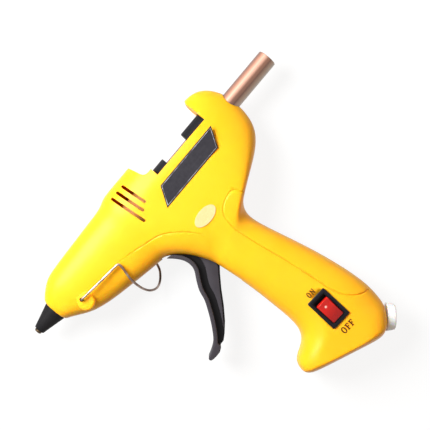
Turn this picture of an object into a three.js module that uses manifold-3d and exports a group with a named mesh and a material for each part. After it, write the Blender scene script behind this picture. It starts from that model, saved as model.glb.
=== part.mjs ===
// A corded hot glue gun, lying on its right side. Two moulded half shells hold the nozzle, the melt
// chamber and the stick guide. Squeezing the trigger pulls a link, which bites the stick with a grip
// lever and slides the feed carriage forward. All lengths are millimetres. In the gun's own axes x runs
// from the nozzle's tip to the rear, y up from the barrel's axis, and z out of the split plane to the left.
import * as THREE from 'three';
import { mergeVertices } from 'three/addons/utils/BufferGeometryUtils.js';
import Module from 'manifold-3d';

const wasm = await Module();
wasm.setup();

// Body
const BODY_LENGTH = 170;
const HANDLE_DROP = 150;
const HANDLE_ROOT = 45;
const BODY_HALF = 17.5;
const CROWN = 0.7;
const WALL = 2.2;
const SEAM = 0.3;
const GAP = 0.3;
const OVERRUN = 60;
const squarenessShare = 2.5;
const originShare = 0.65;
const ORIGIN_DROP = 12;
const handleRootShare = 0.3;

// Front end
const NOZZLE_SHOW = 1.6;
const NOZZLE_TIP_RADIUS = 2.1;
const NOZZLE_ROOT_RADIUS = 4.2;
const NOZZLE_FLANGE_RADIUS = 5.6;
const NOZZLE_SHANK_RADIUS = 4;
const NOZZLE_SHANK_LENGTH = 5.5;
const ORIFICE_RADIUS = 0.9;
const ORIFICE_LENGTH = 7;
const MELT_BORE_RADIUS = 2.6;
const BOOT_RADIUS = 6.6;
const BOOT_LIP = 0.6;
const BOOT_FLANGE_RADIUS = 7.6;
const FLANGE_THICKNESS = 2;
const NOSE_DEPTH = 22;

// Stick and heater
const STICK_RADIUS = 5.6;
const STICK_LENGTH = 155;
const MELT_POOL = 11.5;
const STICK_CLEARANCE = 0.5;
const CHAMBER_RADIUS = 8;
const CHAMBER_NECK_RADIUS = 7;
const CHAMBER_NECK_LENGTH = 6;
const SOCKET_DEPTH = 7.4;
const TUNNEL_DEPTH = 6;
const TUNNEL_HALF = 7.4;
const TUNNEL_WALL = 1.2;
const HEATER_THICKNESS = 2.6;
const HEATER_CLAMP_THICKNESS = 0.6;

// Stick guide and loading window
const SLEEVE_RADIUS = 8.6;
const CLIP_WIDTH = 3;
const CLIP_THICKNESS = 0.8;
const SADDLE_HEIGHT = 8.9;
const WINDOW_EDGE = 3.9;
const BULKHEAD_THICKNESS = 2;
const BULKHEAD_DROP = 9;
const SADDLE_LENGTH = 6;
const COLLAR_RADIUS = 8.7;
const COLLAR_NECK_RADIUS = 7.6;
const COLLAR_SHOW = 8;
const LEDGE_THICKNESS = 2.2;
const LEDGE_CLEARANCE = 0.9;
const HOOK_WALL = 2.4;

// Vents
const VENT_WIDTH = 1.7;
const VENT_PITCH = 4.45;
const VENT_TOP = 15.5;
const VENT_STAGGER = 7.5;
const VENT_LEAN = THREE.MathUtils.degToRad(6.5);
const VENT_LENGTHS = [22.9, 18.8, 16.5];

// Feed
const CARRIAGE_RADIUS = 9.6;
const LUG_HALF = 6;
const LUG_LENGTH = 11;
const LUG_WALL = 3.6;
const LEVER_SETBACK = 11.06;
const LEVER_DROP = 4;
const TONGUE_HALF = 2.4;
const SIDE_CLEARANCE = 0.4;
const PIN_RADIUS = 1.2;
const LEVER_ARM = 7.8;
const LINK_HALF = 5.1;
const LINK_RADIUS = 3;
const LINK_CLEARANCE = 0.91;
const FORK_REACH = 7;
const OPEN_PIVOT_CLEARANCE = 0.9;

// Trigger
const TRIGGER_SWING = THREE.MathUtils.degToRad(24);
const ARM_RADIUS = 3;
const HUB_RADIUS = 4.4;
const WEB_HALF = 4.5;
const PLATE_HALF = 8;
const PLATE_THICKNESS = 2.4;
const SLOT_CLEARANCE = 0.8;
const TRIGGER_PIN_RADIUS = 1.5;
const TRIGGER_PIN_HALF = 10.5;
const PIVOT_BOSS_RADIUS = 4.2;
const SPRING_RADIUS = 2;
const SPRING_WIRE = 0.45;
const SPRING_TURNS = 7;
const SPRING_HOOK = 3;
const SPRING_DROP = 5.1;
const SPRING_POST_RADIUS = 1.6;
const SPRING_POST_TOP = 3;

// Screws
const SCREW_RADIUS = 1.5;
const SCREW_HEAD_RADIUS = 2.7;
const SCREW_HEAD = 2;
const SCREW_SEAT = 6.5;
const SCREW_REACH = 5.4;
const WELL_RADIUS = 3.1;
const BOSS_WALL = 1.4;

// Wire stand
const STAND_WIRE = 0.7;
const STAND_END = 9.5;
const STAND_LEG_PLANE = 15.6;
const STAND_BOSS_RADIUS = 5;
const STAND_BOSS_PLANE = 13.4;

// Switch
const SWITCH_WIDTH = 12.6;
const SWITCH_LENGTH = 19.8;
const SWITCH_TILT = THREE.MathUtils.degToRad(-3);
const BEZEL_THICKNESS = 1.6;
const BEZEL_SINK = 0.5;
const BEZEL_RIM = 1;
const SWITCH_DEPTH = 13;
const ROCKER_WIDTH = 7.8;
const ROCKER_LENGTH = 13;
const ROCKER_PLAY = 1.1;
const ROCKER_PIVOT_DEPTH = 3;
const ROCKER_TILT = THREE.MathUtils.degToRad(12);
const ROCKER_RISE = 2.2;
const ROCKER_DISH = 1.2;
const POCKET_DEPTH = 9;
const TERMINAL_LENGTH = 6;
const TERMINAL_WIDTH = 4.8;
const TERMINAL_THICKNESS = 0.8;
const TERMINAL_PITCH = 6;

// Cord gland and clamp
const GLAND_RADIUS = 8;
const GLAND_SHOW = 5.2;
const GLAND_NECK_RADIUS = 5;
const GLAND_INNER_RADIUS = 7;
const GLAND_INNER_LENGTH = 2.5;
const GLAND_CHAMFER = 1.2;
const GLAND_ANGLE = THREE.MathUtils.degToRad(-50);
const CORD_BORE_RADIUS = 3.6;
const CLAMP_LENGTH = 16;
const CLAMP_WIDTH = 5;
const CLAMP_THICKNESS = 2.4;
const CLAMP_PLANE = 3;
const CLAMP_SETBACK = 15;
const SWITCH_RISE = 18.31;
const CLAMP_POST_RADIUS = 2.4;
const CLAMP_SCREW_RADIUS = 1;
const CLAMP_SCREW_HEAD_RADIUS = 1.9;
const CLAMP_SCREW_LENGTH = 8;

// Leads and labels
const LEAD_RADIUS = 0.9;
const LEAD_CLEARANCE = 1.44;
const LEAD_GAP = 0.65;
const LEAD_TURN = 7;
const LEAD_RISE = 5;
const CORD_END = 8.5;
const LEAD_SPREAD = 3.5;
const LABEL_THICKNESS = 0.3;
const STICKER_LENGTH = 15;
const STICKER_WIDTH = 8;

const SIDES = 12;
const FINE_SIDES = 24;
const SECTION_STEPS = 8;

// Rungs of the body: low edge x, y and high edge x, y as shares of the length and the handle's drop,
// the half thickness as a share of the crowned half, and where the high side turns squarer, how square.
const rungShares = [
  [0.0918, -0.0467, 0.0918, 0.046, 0.4], [0.1, -0.0533, 0.0988, 0.0573, 0.47],
  [0.1182, -0.0667, 0.1182, 0.0747, 0.57], [0.1471, -0.0913, 0.1529, 0.0973, 0.64],
  [0.1759, -0.1133, 0.1818, 0.1033, 0.68], [0.2353, -0.1367, 0.2353, 0.1073, 0.72],
  [0.2941, -0.1507, 0.2941, 0.11, 0.745], [0.3529, -0.1647, 0.3529, 0.1133, 0.765],
  [0.4, -0.1753, 0.4, 0.1153, 0.79], [0.4412, -0.1827, 0.4471, 0.118, 0.835],
  [0.4618, -0.1893, 0.4712, 0.132, 0.88], [0.4759, -0.2, 0.5059, 0.1333, 0.92],
  [0.4912, -0.2133, 0.5529, 0.1333, 0.96], [0.5059, -0.2333, 0.6, 0.1333, 0.985],
  [0.5182, -0.2533, 0.6588, 0.1333, 1], [0.5276, -0.2747, 0.7288, 0.1333, 1],
  [0.5371, -0.2987, 0.8118, 0.134, 1], [0.5447, -0.322, 0.8941, 0.1367, 1],
  [0.5459, -0.3273, 0.9412, 0.128, 0.995], [0.5471, -0.3327, 0.9782, 0.0893, 0.98],
  [0.5482, -0.338, 0.9988, 0.028, 0.96], [0.5494, -0.3433, 1, -0.0273, 0.945],
  [0.5506, -0.3487, 0.9912, -0.0973, 0.93], [0.5512, -0.354, 0.9653, -0.15, 0.915],
  [0.5518, -0.36, 0.9182, -0.1893, 0.9], [0.5529, -0.3647, 0.8588, -0.2207, 0.885],
  [0.5547, -0.3827, 0.8059, -0.2487, 0.87], [0.5576, -0.4107, 0.7635, -0.2727, 0.86],
  [0.5612, -0.444, 0.7429, -0.3087, 0.85], [0.5647, -0.4873, 0.7418, -0.3533, 0.85],
  [0.5676, -0.5467, 0.7559, -0.4247, 0.85], [0.5688, -0.6133, 0.7765, -0.5173, 0.86],
  [0.5694, -0.67, 0.7971, -0.6187, 0.89], [0.5676, -0.7073, 0.8118, -0.72, 0.94],
  [0.5612, -0.744, 0.8176, -0.7933, 0.98], [0.5441, -0.772, 0.8176, -0.84, 1],
  [0.5153, -0.7893, 0.8118, -0.8887, 1], [0.4882, -0.7993, 0.8018, -0.93, 1, 2.8],
  [0.4712, -0.816, 0.7788, -0.9573, 1, 3.2], [0.4653, -0.8373, 0.7612, -0.974, 1, 3.6],
  [0.4653, -0.85, 0.7471, -0.9813, 0.97, 3.6], [0.4676, -0.86, 0.7376, -0.9867, 0.85, 3.6],
  [0.4776, -0.8773, 0.7194, -0.9927, 0.42, 3.6], [0.4971, -0.8933, 0.6971, -0.9873, 0.1, 3.6],
];
const CAVITY_FIRST = 2;
const CAVITY_END = 40;

const saddleShares = [
  [0.603, 0.14], [0.608, 0.128], [0.613, 0.1], [0.617, 0.075], [0.623, 0.063], [0.631, 0.0593],
];
const hookFrontShare = 0.8855;
const hookTipShares = [[0.8855, 0.117], [0.89, 0.128], [0.898, 0.136]];
const ventStartShare = 0.4965;
const chamberShares = [0.2353, 0.4588];
const ribShares = [0.224, 0.342];
const screwShares = [
  [0.424, -0.129], [0.924, 0.099], [0.941, -0.113], [0.629, -0.213],
  [0.665, -0.493], [0.529, -0.837], [0.768, -0.72],
];
const standHoleShare = [0.1853, -0.053];
const standBossShare = [0.1894, -0.0707];
const switchShare = 0.6753;
const glandShare = [0.7753, -0.9587];
const triggerPivotShare = [0.535, -0.221];
const springPostShare = 0.741;
const carriageShares = [0.8, 0.947];
const labelShares = [[0.6305, -0.0075], [0.8816, -0.0075], [0.8418, -0.0784], [0.5907, -0.0784]];
const stickerShare = [0.6495, -0.2027];
const slotShares = [
  [0.447, -0.133], [0.447, -0.333], [0.529, -0.46], [0.59, -0.46],
  [0.622, -0.347], [0.592, -0.267], [0.57, -0.2], [0.541, -0.147],
];
const fingerShares = [
  [0.4606, -0.1932], [0.4796, -0.2205], [0.4925, -0.2494], [0.495, -0.2781], [0.4882, -0.3017],
  [0.4685, -0.3307], [0.4496, -0.3625], [0.4369, -0.3985], [0.4177, -0.434], [0.3952, -0.4691],
  [0.3712, -0.5022], [0.3487, -0.525], [0.3248, -0.5395], [0.3011, -0.5483],
];
const fingerTipShares = [[0.2992, -0.5604], [0.3094, -0.5644], [0.3372, -0.5668], [0.358, -0.5539]];
const webShares = [
  [0.4647, -0.19], [0.4853, -0.2167], [0.499, -0.2467], [0.5018, -0.2787], [0.4941, -0.3053],
  [0.4741, -0.3353], [0.4559, -0.3667], [0.4435, -0.402], [0.4235, -0.4387], [0.4006, -0.474],
  [0.3765, -0.5073], [0.3529, -0.532], [0.354, -0.553], [0.3741, -0.5513], [0.3944, -0.5375],
  [0.4272, -0.5077], [0.4605, -0.4704], [0.4984, -0.4227], [0.5347, -0.3812], [0.5574, -0.3583],
  [0.5588, -0.3067], [0.561, -0.253], [0.561, -0.22], [0.512, -0.195], [0.476, -0.18],
];
// The grip lever's outline, from its pivot, as shares of its arm.
const leverShares = [
  [-0.785, 0.448], [-0.545, 0.448], [-0.087, 0.308], [0.305, 0.115], [0.327, -0.135], [0.196, -0.981],
  [0.087, -1.25], [-0.131, -1.288], [-0.371, -1.154], [-0.392, -0.981], [-0.327, -0.231],
  [-0.763, 0.173],
];

// Wire stand route: x, y as body shares and z as a share of the leg's plane, from the left end round
// the foot to the right end. The foot's right side is bent further back, as on the photographed gun.
const standShares = [
  [0.1853, -0.053, 1], [0.195, -0.0541, 1], [0.265, -0.0622, 1], [0.335, -0.0692, 1], [0.347, -0.0716, 1],
  [0.3518, -0.08, 0.987], [0.3482, -0.1, 0.929], [0.3382, -0.138, 0.769], [0.3345, -0.168, 0.577],
  [0.3355, -0.1967, 0.321], [0.3412, -0.2187, 0.064], [0.3512, -0.2313, -0.192], [0.3641, -0.236, -0.449],
  [0.38, -0.23, -0.705], [0.3976, -0.2147, -0.865], [0.4129, -0.192, -0.962], [0.424, -0.15, -1.01],
  [0.426, -0.105, -1.035], [0.415, -0.082, -1.035], [0.388, -0.075, -1.02], [0.265, -0.0622, -1],
  [0.195, -0.0541, -1], [0.1853, -0.053, -1],
];

// Lead routes: x, y as body shares and z as a share of the body's half thickness.
const heaterLeadShares = [
  [0.715, -0.62, 0.4], [0.71, -0.48, 0.46], [0.69, -0.33, 0.46],
  [0.682, -0.227, 0.46], [0.659, -0.16, 0.46], [0.612, -0.127, 0.46], [0.53, -0.123, 0.46],
];
const neutralLeadShares = [
  [0.716, -0.85, -0.3], [0.727, -0.79, -0.42], [0.72, -0.65, -0.46],
  [0.71, -0.48, -0.46], [0.69, -0.33, -0.46], [0.682, -0.227, -0.46], [0.659, -0.16, -0.46],
  [0.612, -0.127, -0.46], [0.53, -0.123, -0.46],
];

const yellow = new THREE.MeshStandardMaterial({ color: 0xffd21f, roughness: 0.42, metalness: 0 });
const black = new THREE.MeshStandardMaterial({ color: 0x28262a, roughness: 0.5, metalness: 0 });
const silicone = new THREE.MeshStandardMaterial({ color: 0xd9c3a8, roughness: 0.7, metalness: 0 });
const brass = new THREE.MeshStandardMaterial({ color: 0xb08d4a, roughness: 0.35, metalness: 1 });
const aluminium = new THREE.MeshStandardMaterial({ color: 0xb8babd, roughness: 0.4, metalness: 1 });
const steel = new THREE.MeshStandardMaterial({ color: 0xc4c4c6, roughness: 0.3, metalness: 1 });
const ceramic = new THREE.MeshStandardMaterial({ color: 0xe6e0d4, roughness: 0.8, metalness: 0 });
const copper = new THREE.MeshStandardMaterial({ color: 0xb9836c, roughness: 0.35, metalness: 0.4 });
const red = new THREE.MeshStandardMaterial({ color: 0xc41a12, roughness: 0.25, metalness: 0 });
const white = new THREE.MeshStandardMaterial({ color: 0xf0f0ee, roughness: 0.5, metalness: 0 });
const charcoal = new THREE.MeshStandardMaterial({ color: 0x46444a, roughness: 0.5, metalness: 0 });
const foil = new THREE.MeshStandardMaterial({ color: 0xf2e27a, roughness: 0.35, metalness: 0 });

// Places that several pieces share. Down to the handle's root, heights belong to the barrel, and below
// it the handle takes up the rest of the drop.
function heightOf(share) {
  if (share >= -handleRootShare) return (share / handleRootShare) * HANDLE_ROOT;
  return -HANDLE_ROOT + ((share + handleRootShare) / (1 - handleRootShare)) * (HANDLE_DROP - HANDLE_ROOT);
}

const at = ([x, y]) => new THREE.Vector2(x * BODY_LENGTH, heightOf(y));
const noseStation = rungShares[0][0] * BODY_LENGTH;
const nozzleFlangeStation = NOSE_DEPTH + FLANGE_THICKNESS + GAP;
const chamberStart = nozzleFlangeStation + FLANGE_THICKNESS + GAP;
const chamberEnd = chamberShares[1] * BODY_LENGTH;
const stickBore = STICK_RADIUS + STICK_CLEARANCE;
const tunnelStart = chamberShares[0] * BODY_LENGTH;
const tunnelEnd = chamberEnd - CHAMBER_NECK_LENGTH;
const heaterHalf = TUNNEL_HALF - TUNNEL_WALL - GAP;
const heaterTop = -CHAMBER_RADIUS - TUNNEL_WALL / 2 - GAP;
const windowStart = saddleShares[0][0] * BODY_LENGTH + SADDLE_LENGTH + BULKHEAD_THICKNESS + GAP;
const sleeveEnd = saddleShares[0][0] * BODY_LENGTH - BULKHEAD_THICKNESS;
const hookFront = hookFrontShare * BODY_LENGTH;
const collarEnd = windowStart + COLLAR_SHOW;
const [carriageStart, carriageEnd] = carriageShares.map((share) => share * BODY_LENGTH);
const stickEnd = chamberStart + SOCKET_DEPTH + MELT_POOL + STICK_LENGTH;
const triggerPivot = at(triggerPivotShare);
const linkDrop = COLLAR_RADIUS + LINK_RADIUS + LINK_CLEARANCE;
const armRise = -linkDrop - triggerPivot.y;
const armPin = new THREE.Vector2(armRise * Math.tan(TRIGGER_SWING / 2), armRise).add(triggerPivot);
const leverPivot = new THREE.Vector2(carriageEnd - LEVER_SETBACK, -STICK_RADIUS - LEVER_DROP);
const tailPin = new THREE.Vector2(-PIN_RADIUS, -LEVER_ARM).add(leverPivot);
const slotHalf = WEB_HALF + SLOT_CLEARANCE;
const linkHoleHalf = TONGUE_HALF + SIDE_CLEARANCE;
const standHole = at(standHoleShare);
const bezelBottom = BODY_HALF - BEZEL_SINK;
const bezelTop = bezelBottom + BEZEL_THICKNESS;
const glandBase = at(glandShare);
const glandHeading = new THREE.Vector2(Math.cos(GLAND_ANGLE), Math.sin(GLAND_ANGLE));
const clampPlace = glandBase.clone().addScaledVector(glandHeading, -CLAMP_SETBACK);
const switchPlace = new THREE.Vector2(switchShare * BODY_LENGTH, clampPlace.y + SWITCH_RISE);
const glandWall = WALL + GAP;
const springPost = new THREE.Vector2(springPostShare * BODY_LENGTH, tailPin.y - SPRING_DROP);

// Turns any closed geometry into a solid, with shared corners merged and empty triangles dropped.
function solid(geometry) {
  const bare = geometry.clone();
  for (const name of Object.keys(bare.attributes)) if (name !== 'position') bare.deleteAttribute(name);
  const merged = mergeVertices(bare);
  const vertProperties = new Float32Array(merged.attributes.position.array);
  const corner = (i) => new THREE.Vector3().fromArray(vertProperties, 3 * i);
  const triangles = [];
  let volume = 0;
  for (let i = 0; i < merged.index.count; i += 3) {
    const [a, b, c] = [0, 1, 2].map((k) => merged.index.getX(i + k));
    if (a === b || b === c || c === a) continue;
    triangles.push([a, b, c]);
    volume += corner(a).dot(corner(b).cross(corner(c)));
  }
  const outward = volume < 0 ? triangles.map(([a, b, c]) => [a, c, b]) : triangles;
  const triVerts = new Uint32Array(outward.flat());
  return new wasm.Manifold(new wasm.Mesh({ numProp: 3, vertProperties, triVerts }));
}

function geometryOf(shape) {
  const { vertProperties, triVerts, numProp } = shape.getMesh();
  const positions = new Float32Array((vertProperties.length / numProp) * 3);
  for (let i = 0; i < positions.length / 3; i++) {
    for (let k = 0; k < 3; k++) positions[3 * i + k] = vertProperties[numProp * i + k];
  }
  const geometry = new THREE.BufferGeometry();
  geometry.setAttribute('position', new THREE.BufferAttribute(positions, 3));
  geometry.setIndex([...triVerts]);
  geometry.computeVertexNormals();
  return geometry;
}

const join = (...shapes) => shapes.reduce((all, next) => all.add(next));
const cut = (shape, ...tools) => tools.reduce((rest, tool) => rest.subtract(tool), shape);

// An outline in the x, y plane, pushed out from one height to another.
function prism(points, from, to) {
  const shape = new THREE.Shape(points.map((p) => new THREE.Vector2(p.x, p.y)));
  const geometry = new THREE.ExtrudeGeometry(shape, { depth: to - from, bevelEnabled: false });
  return solid(geometry.translate(0, 0, from));
}

function block(x0, x1, y0, y1, z0, z1) {
  const geometry = new THREE.BoxGeometry(x1 - x0, y1 - y0, z1 - z0);
  return solid(geometry.translate((x0 + x1) / 2, (y0 + y1) / 2, (z0 + z1) / 2));
}

// A round bar square to the split plane.
function bar(place, radius, from, to, sides = SIDES) {
  const geometry = new THREE.CylinderGeometry(radius, radius, to - from, sides);
  return solid(geometry.rotateX(Math.PI / 2).translate(place.x, place.y, (from + to) / 2));
}

// A turned piece about the barrel's axis, from a closed outline of stations and radii.
function turned(outline, sides = FINE_SIDES) {
  const points = outline.map(([x, r]) => new THREE.Vector2(r, x));
  return new THREE.LatheGeometry([...points, points[0].clone()], sides).rotateZ(-Math.PI / 2);
}

function boreTool(radius, from, to) {
  const geometry = new THREE.CylinderGeometry(radius, radius, to - from, FINE_SIDES);
  return solid(geometry.rotateZ(Math.PI / 2).translate((from + to) / 2, 0, 0));
}

// A round wire along hand-placed points.
function wire(points, radius, steps, sides) {
  const curve = new THREE.CatmullRomCurve3(points, false, 'centripetal');
  const section = new THREE.Shape();
  section.absarc(0, 0, radius, 0, Math.PI * 2, false);
  return new THREE.ExtrudeGeometry(section, { steps, extrudePath: curve, curveSegments: sides / 2 });
}

// Two round ends joined by straight sides.
function capsule(a, b, radius) {
  const lean = b.clone().sub(a).angle();
  const points = [];
  for (const [end, turn] of [[b, lean - Math.PI / 2], [a, lean + Math.PI / 2]]) {
    for (let k = 0; k <= SIDES / 2; k++) {
      const angle = turn + (Math.PI * k) / (SIDES / 2);
      points.push(new THREE.Vector2(Math.cos(angle), Math.sin(angle)).multiplyScalar(radius).add(end));
    }
  }
  return points;
}

// Direction of a row of points at one of them, from its neighbours.
function heading(points, i) {
  return points[Math.min(i + 1, points.length - 1)].clone().sub(points[Math.max(i - 1, 0)]).normalize();
}

// Closed skin over rings of equally many points, with both ends capped.
function skin(rings) {
  const size = rings[0].length;
  const positions = rings.flat().flatMap((p) => [p.x, p.y, p.z]);
  const index = [];
  for (let i = 0; i + 1 < rings.length; i++) {
    for (let k = 0; k < size; k++) {
      const a = i * size + k;
      const b = i * size + ((k + 1) % size);
      index.push(a, b, b + size, a, b + size, a + size);
    }
  }
  const last = (rings.length - 1) * size;
  for (let k = 1; k + 1 < size; k++) index.push(0, k + 1, k, last, last + k, last + k + 1);
  const geometry = new THREE.BufferGeometry();
  geometry.setAttribute('position', new THREE.BufferAttribute(new Float32Array(positions), 3));
  geometry.setIndex(index);
  return geometry;
}

// Body rails moved inward by an inset, paired into rungs with their half thickness.
function rungs(inset) {
  const rails = [0, 2].map((k) => rungShares.map((r) => at([r[k], r[k + 1]])));
  const moved = rails.map((rail, side) => rail.map((p, i) => {
    const along = heading(rail, i);
    const inward = side === 0 ? new THREE.Vector2(-along.y, along.x) : new THREE.Vector2(along.y, -along.x);
    return p.clone().addScaledVector(inward, inset);
  }));
  const half = rungShares.map((r) => r[4] * (BODY_HALF + CROWN) - inset);
  return half.map((h, i) => ({ low: moved[0][i], high: moved[1][i], half: h, square: rungShares[i][5] }));
}

// One half of a rung's section: a squared ellipse over the split plane.
function section({ low, high, half, square = squarenessShare }, side, base) {
  const middle = low.clone().add(high).multiplyScalar(0.5);
  const reach = high.clone().sub(low).multiplyScalar(0.5);
  const arch = [];
  for (let k = 0; k <= SECTION_STEPS; k++) {
    const angle = (Math.PI * k) / SECTION_STEPS;
    const power = 2 / (angle > Math.PI / 2 ? square : squarenessShare);
    const across = -Math.sign(Math.cos(angle)) * Math.abs(Math.cos(angle)) ** power;
    const rise = k === 0 || k === SECTION_STEPS ? 0 : Math.sin(angle) ** power;
    const place = middle.clone().addScaledVector(reach, across);
    arch.push(new THREE.Vector3(place.x, place.y, side * (SEAM / 2 + rise * (half - SEAM / 2))));
  }
  if (base === SEAM / 2) return arch;
  const ends = [arch.at(-1), arch[0]].map((p) => new THREE.Vector3(p.x, p.y, side * base));
  return [...arch, ...ends];
}

function bodyHalf(side) {
  const full = solid(skin(rungs(0).map((r) => section(r, side, SEAM / 2))));
  const boss = bar(at(standBossShare), STAND_BOSS_RADIUS, ...ordered(side, WALL, STAND_BOSS_PLANE));
  const slab = block(-OVERRUN, BODY_LENGTH + OVERRUN, -HANDLE_DROP - OVERRUN, OVERRUN,
    ...ordered(side, 0, BODY_HALF));
  return join(full, boss).intersect(slab);
}

function cavity(side) {
  const inner = rungs(WALL).slice(CAVITY_FIRST, CAVITY_END);
  return solid(skin(inner.map((r) => section(r, side, -WALL))));
}

function ordered(side, near, far) {
  return side > 0 ? [near, far] : [-far, -near];
}

// Moves a piece of the switch or the gland from its own axes to its place.
function placed(geometry, place, angle, height = 0) {
  return geometry.clone().rotateZ(angle).translate(place.x, place.y, height);
}

function switchBlock(width, length, from, to) {
  const geometry = new THREE.BoxGeometry(width, length, to - from);
  return solid(placed(geometry, switchPlace, SWITCH_TILT, (from + to) / 2));
}

function glandTool(radius, from, to) {
  const geometry = new THREE.CylinderGeometry(radius, radius, to - from, FINE_SIDES);
  geometry.rotateZ(Math.PI / 2).translate((from + to) / 2, 0, 0);
  return solid(placed(geometry, glandBase, GLAND_ANGLE));
}

const clampScrewPlaces = [-1, 1].map((end) => new THREE.Vector2(-Math.sin(GLAND_ANGLE), Math.cos(GLAND_ANGLE))
  .multiplyScalar(end * (CLAMP_LENGTH / 2 - CLAMP_POST_RADIUS)).add(clampPlace));

// Everything inside a shell that is moulded with it: ribs round the melt chamber, the bulkhead and
// saddle, the hook's wall, the window's ledges, screw bosses and pivot bosses.
function mouldings(side) {
  const wide = [-HANDLE_DROP, HANDLE_DROP];
  const deep = ordered(side, SEAM / 2, OVERRUN);
  const ribs = ribShares.map((share) => cut(
    block(share * BODY_LENGTH - WALL / 2, share * BODY_LENGTH + WALL / 2, ...wide, ...deep),
    boreTool(CHAMBER_RADIUS + GAP, 0, BODY_LENGTH),
    block(0, BODY_LENGTH, -CHAMBER_RADIUS - TUNNEL_DEPTH - GAP, 0, -TUNNEL_HALF - GAP, TUNNEL_HALF + GAP),
  ));
  const bulkhead = cut(
    block(sleeveEnd + GAP, windowStart - GAP, -BULKHEAD_DROP, HANDLE_DROP, ...deep),
    boreTool(COLLAR_NECK_RADIUS + GAP, 0, BODY_LENGTH),
  );
  const carriageBore = CARRIAGE_RADIUS + LEDGE_CLEARANCE;
  const hookWall = cut(
    block(hookFront, hookFront + HOOK_WALL, WINDOW_EDGE - LEDGE_THICKNESS, HANDLE_DROP, ...deep),
    boreTool(carriageBore, 0, BODY_LENGTH + OVERRUN),
  );
  const ledge = block(windowStart - LEDGE_THICKNESS, BODY_LENGTH - WALL, WINDOW_EDGE - LEDGE_THICKNESS,
    WINDOW_EDGE, ...ordered(side, carriageBore, OVERRUN));
  const bossRadius = side > 0 ? SCREW_RADIUS + GAP + BOSS_WALL : WELL_RADIUS + BOSS_WALL;
  const bosses = screwShares.map((share) => bar(at(share), bossRadius, ...deep));
  const pivot = bar(triggerPivot, PIVOT_BOSS_RADIUS, ...ordered(side, slotHalf, OVERRUN));
  return join(...ribs, bulkhead, hookWall, ledge, ...bosses, pivot);
}

// Holes and cuts that both shells share.
function sharedCuts(side) {
  const saddle = [
    new THREE.Vector2(saddleShares[0][0] * BODY_LENGTH, OVERRUN), ...saddleShares.map(at),
    new THREE.Vector2(windowStart, SADDLE_HEIGHT), new THREE.Vector2(windowStart, WINDOW_EDGE),
    new THREE.Vector2(hookFront, WINDOW_EDGE), ...hookTipShares.map(at),
    new THREE.Vector2(hookTipShares.at(-1)[0] * BODY_LENGTH, OVERRUN),
  ];
  // The right side's vents sit lower, so that nobody looks straight through both sides.
  const ventTop = side > 0 ? VENT_TOP : VENT_TOP - VENT_STAGGER;
  const vents = VENT_LENGTHS.map((length, i) => {
    const geometry = new THREE.BoxGeometry(VENT_WIDTH, length, OVERRUN);
    geometry.translate(0, -length / 2, side * (OVERRUN / 2 + WALL + GAP)).rotateZ(VENT_LEAN);
    return solid(geometry.translate(ventStartShare * BODY_LENGTH + i * VENT_PITCH, ventTop, 0));
  });
  return [
    boreTool(BOOT_RADIUS + GAP, 0, NOSE_DEPTH),
    boreTool(BOOT_FLANGE_RADIUS + GAP, NOSE_DEPTH - GAP, chamberStart),
    boreTool(stickBore, BODY_LENGTH - NOSE_DEPTH / 2, BODY_LENGTH + OVERRUN),
    prism(saddle, -OVERRUN, OVERRUN),
    prism(slotShares.map(at), -slotHalf, slotHalf),
    bar(standHole, STAND_WIRE + GAP, ...ordered(side, STAND_END - WALL, OVERRUN)),
    bar(triggerPivot, TRIGGER_PIN_RADIUS + GAP, ...ordered(side, 0, TRIGGER_PIN_HALF + GAP)),
    glandTool(GLAND_RADIUS + GAP, 0, OVERRUN),
    glandTool(GLAND_NECK_RADIUS + GAP, -OVERRUN / 4, OVERRUN),
    glandTool(GLAND_INNER_RADIUS + GAP, -glandWall - GLAND_INNER_LENGTH - 3 * GAP, -glandWall),
    ...vents,
  ];
}

function leftShell() {
  const shell = join(cut(bodyHalf(1), cavity(1)), mouldings(1).intersect(bodyHalf(1)));
  const pilots = screwShares.map((share) => bar(at(share), SCREW_RADIUS + GAP, 0, SCREW_REACH + GAP));
  const opening = switchBlock(SWITCH_WIDTH - 2 * BEZEL_RIM + 2 * GAP, SWITCH_LENGTH - 2 * BEZEL_RIM + 2 * GAP,
    BODY_HALF / 2, OVERRUN);
  const seat = switchBlock(SWITCH_WIDTH + 2 * GAP, SWITCH_LENGTH + 2 * GAP, bezelBottom - GAP, OVERRUN);
  return cut(shell, ...sharedCuts(1), ...pilots, opening, seat);
}

function rightShell() {
  const post = bar(springPost, SPRING_POST_RADIUS, -OVERRUN, SPRING_POST_TOP);
  const clampPosts = clampScrewPlaces.map(
    (place) => bar(place, CLAMP_POST_RADIUS, -OVERRUN, CLAMP_PLANE - GAP),
  );
  const clip = join(bodyHalf(-1), block(0, BODY_LENGTH, -HANDLE_DROP, 0, -WALL, SPRING_POST_TOP + WALL));
  const posts = join(post, ...clampPosts).intersect(clip);
  const shell = join(cut(bodyHalf(-1), cavity(-1)), mouldings(-1).intersect(bodyHalf(-1)), posts);
  const holes = screwShares.flatMap((share) => [
    bar(at(share), SCREW_RADIUS + GAP, -OVERRUN, OVERRUN),
    bar(at(share), WELL_RADIUS, -OVERRUN, -SCREW_SEAT),
  ]);
  const pilots = clampScrewPlaces.map((place) => bar(place, CLAMP_SCREW_RADIUS + GAP,
    CLAMP_PLANE + CLAMP_THICKNESS - CLAMP_SCREW_LENGTH - GAP, OVERRUN));
  return cut(shell, ...sharedCuts(-1), ...holes, ...pilots);
}

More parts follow.
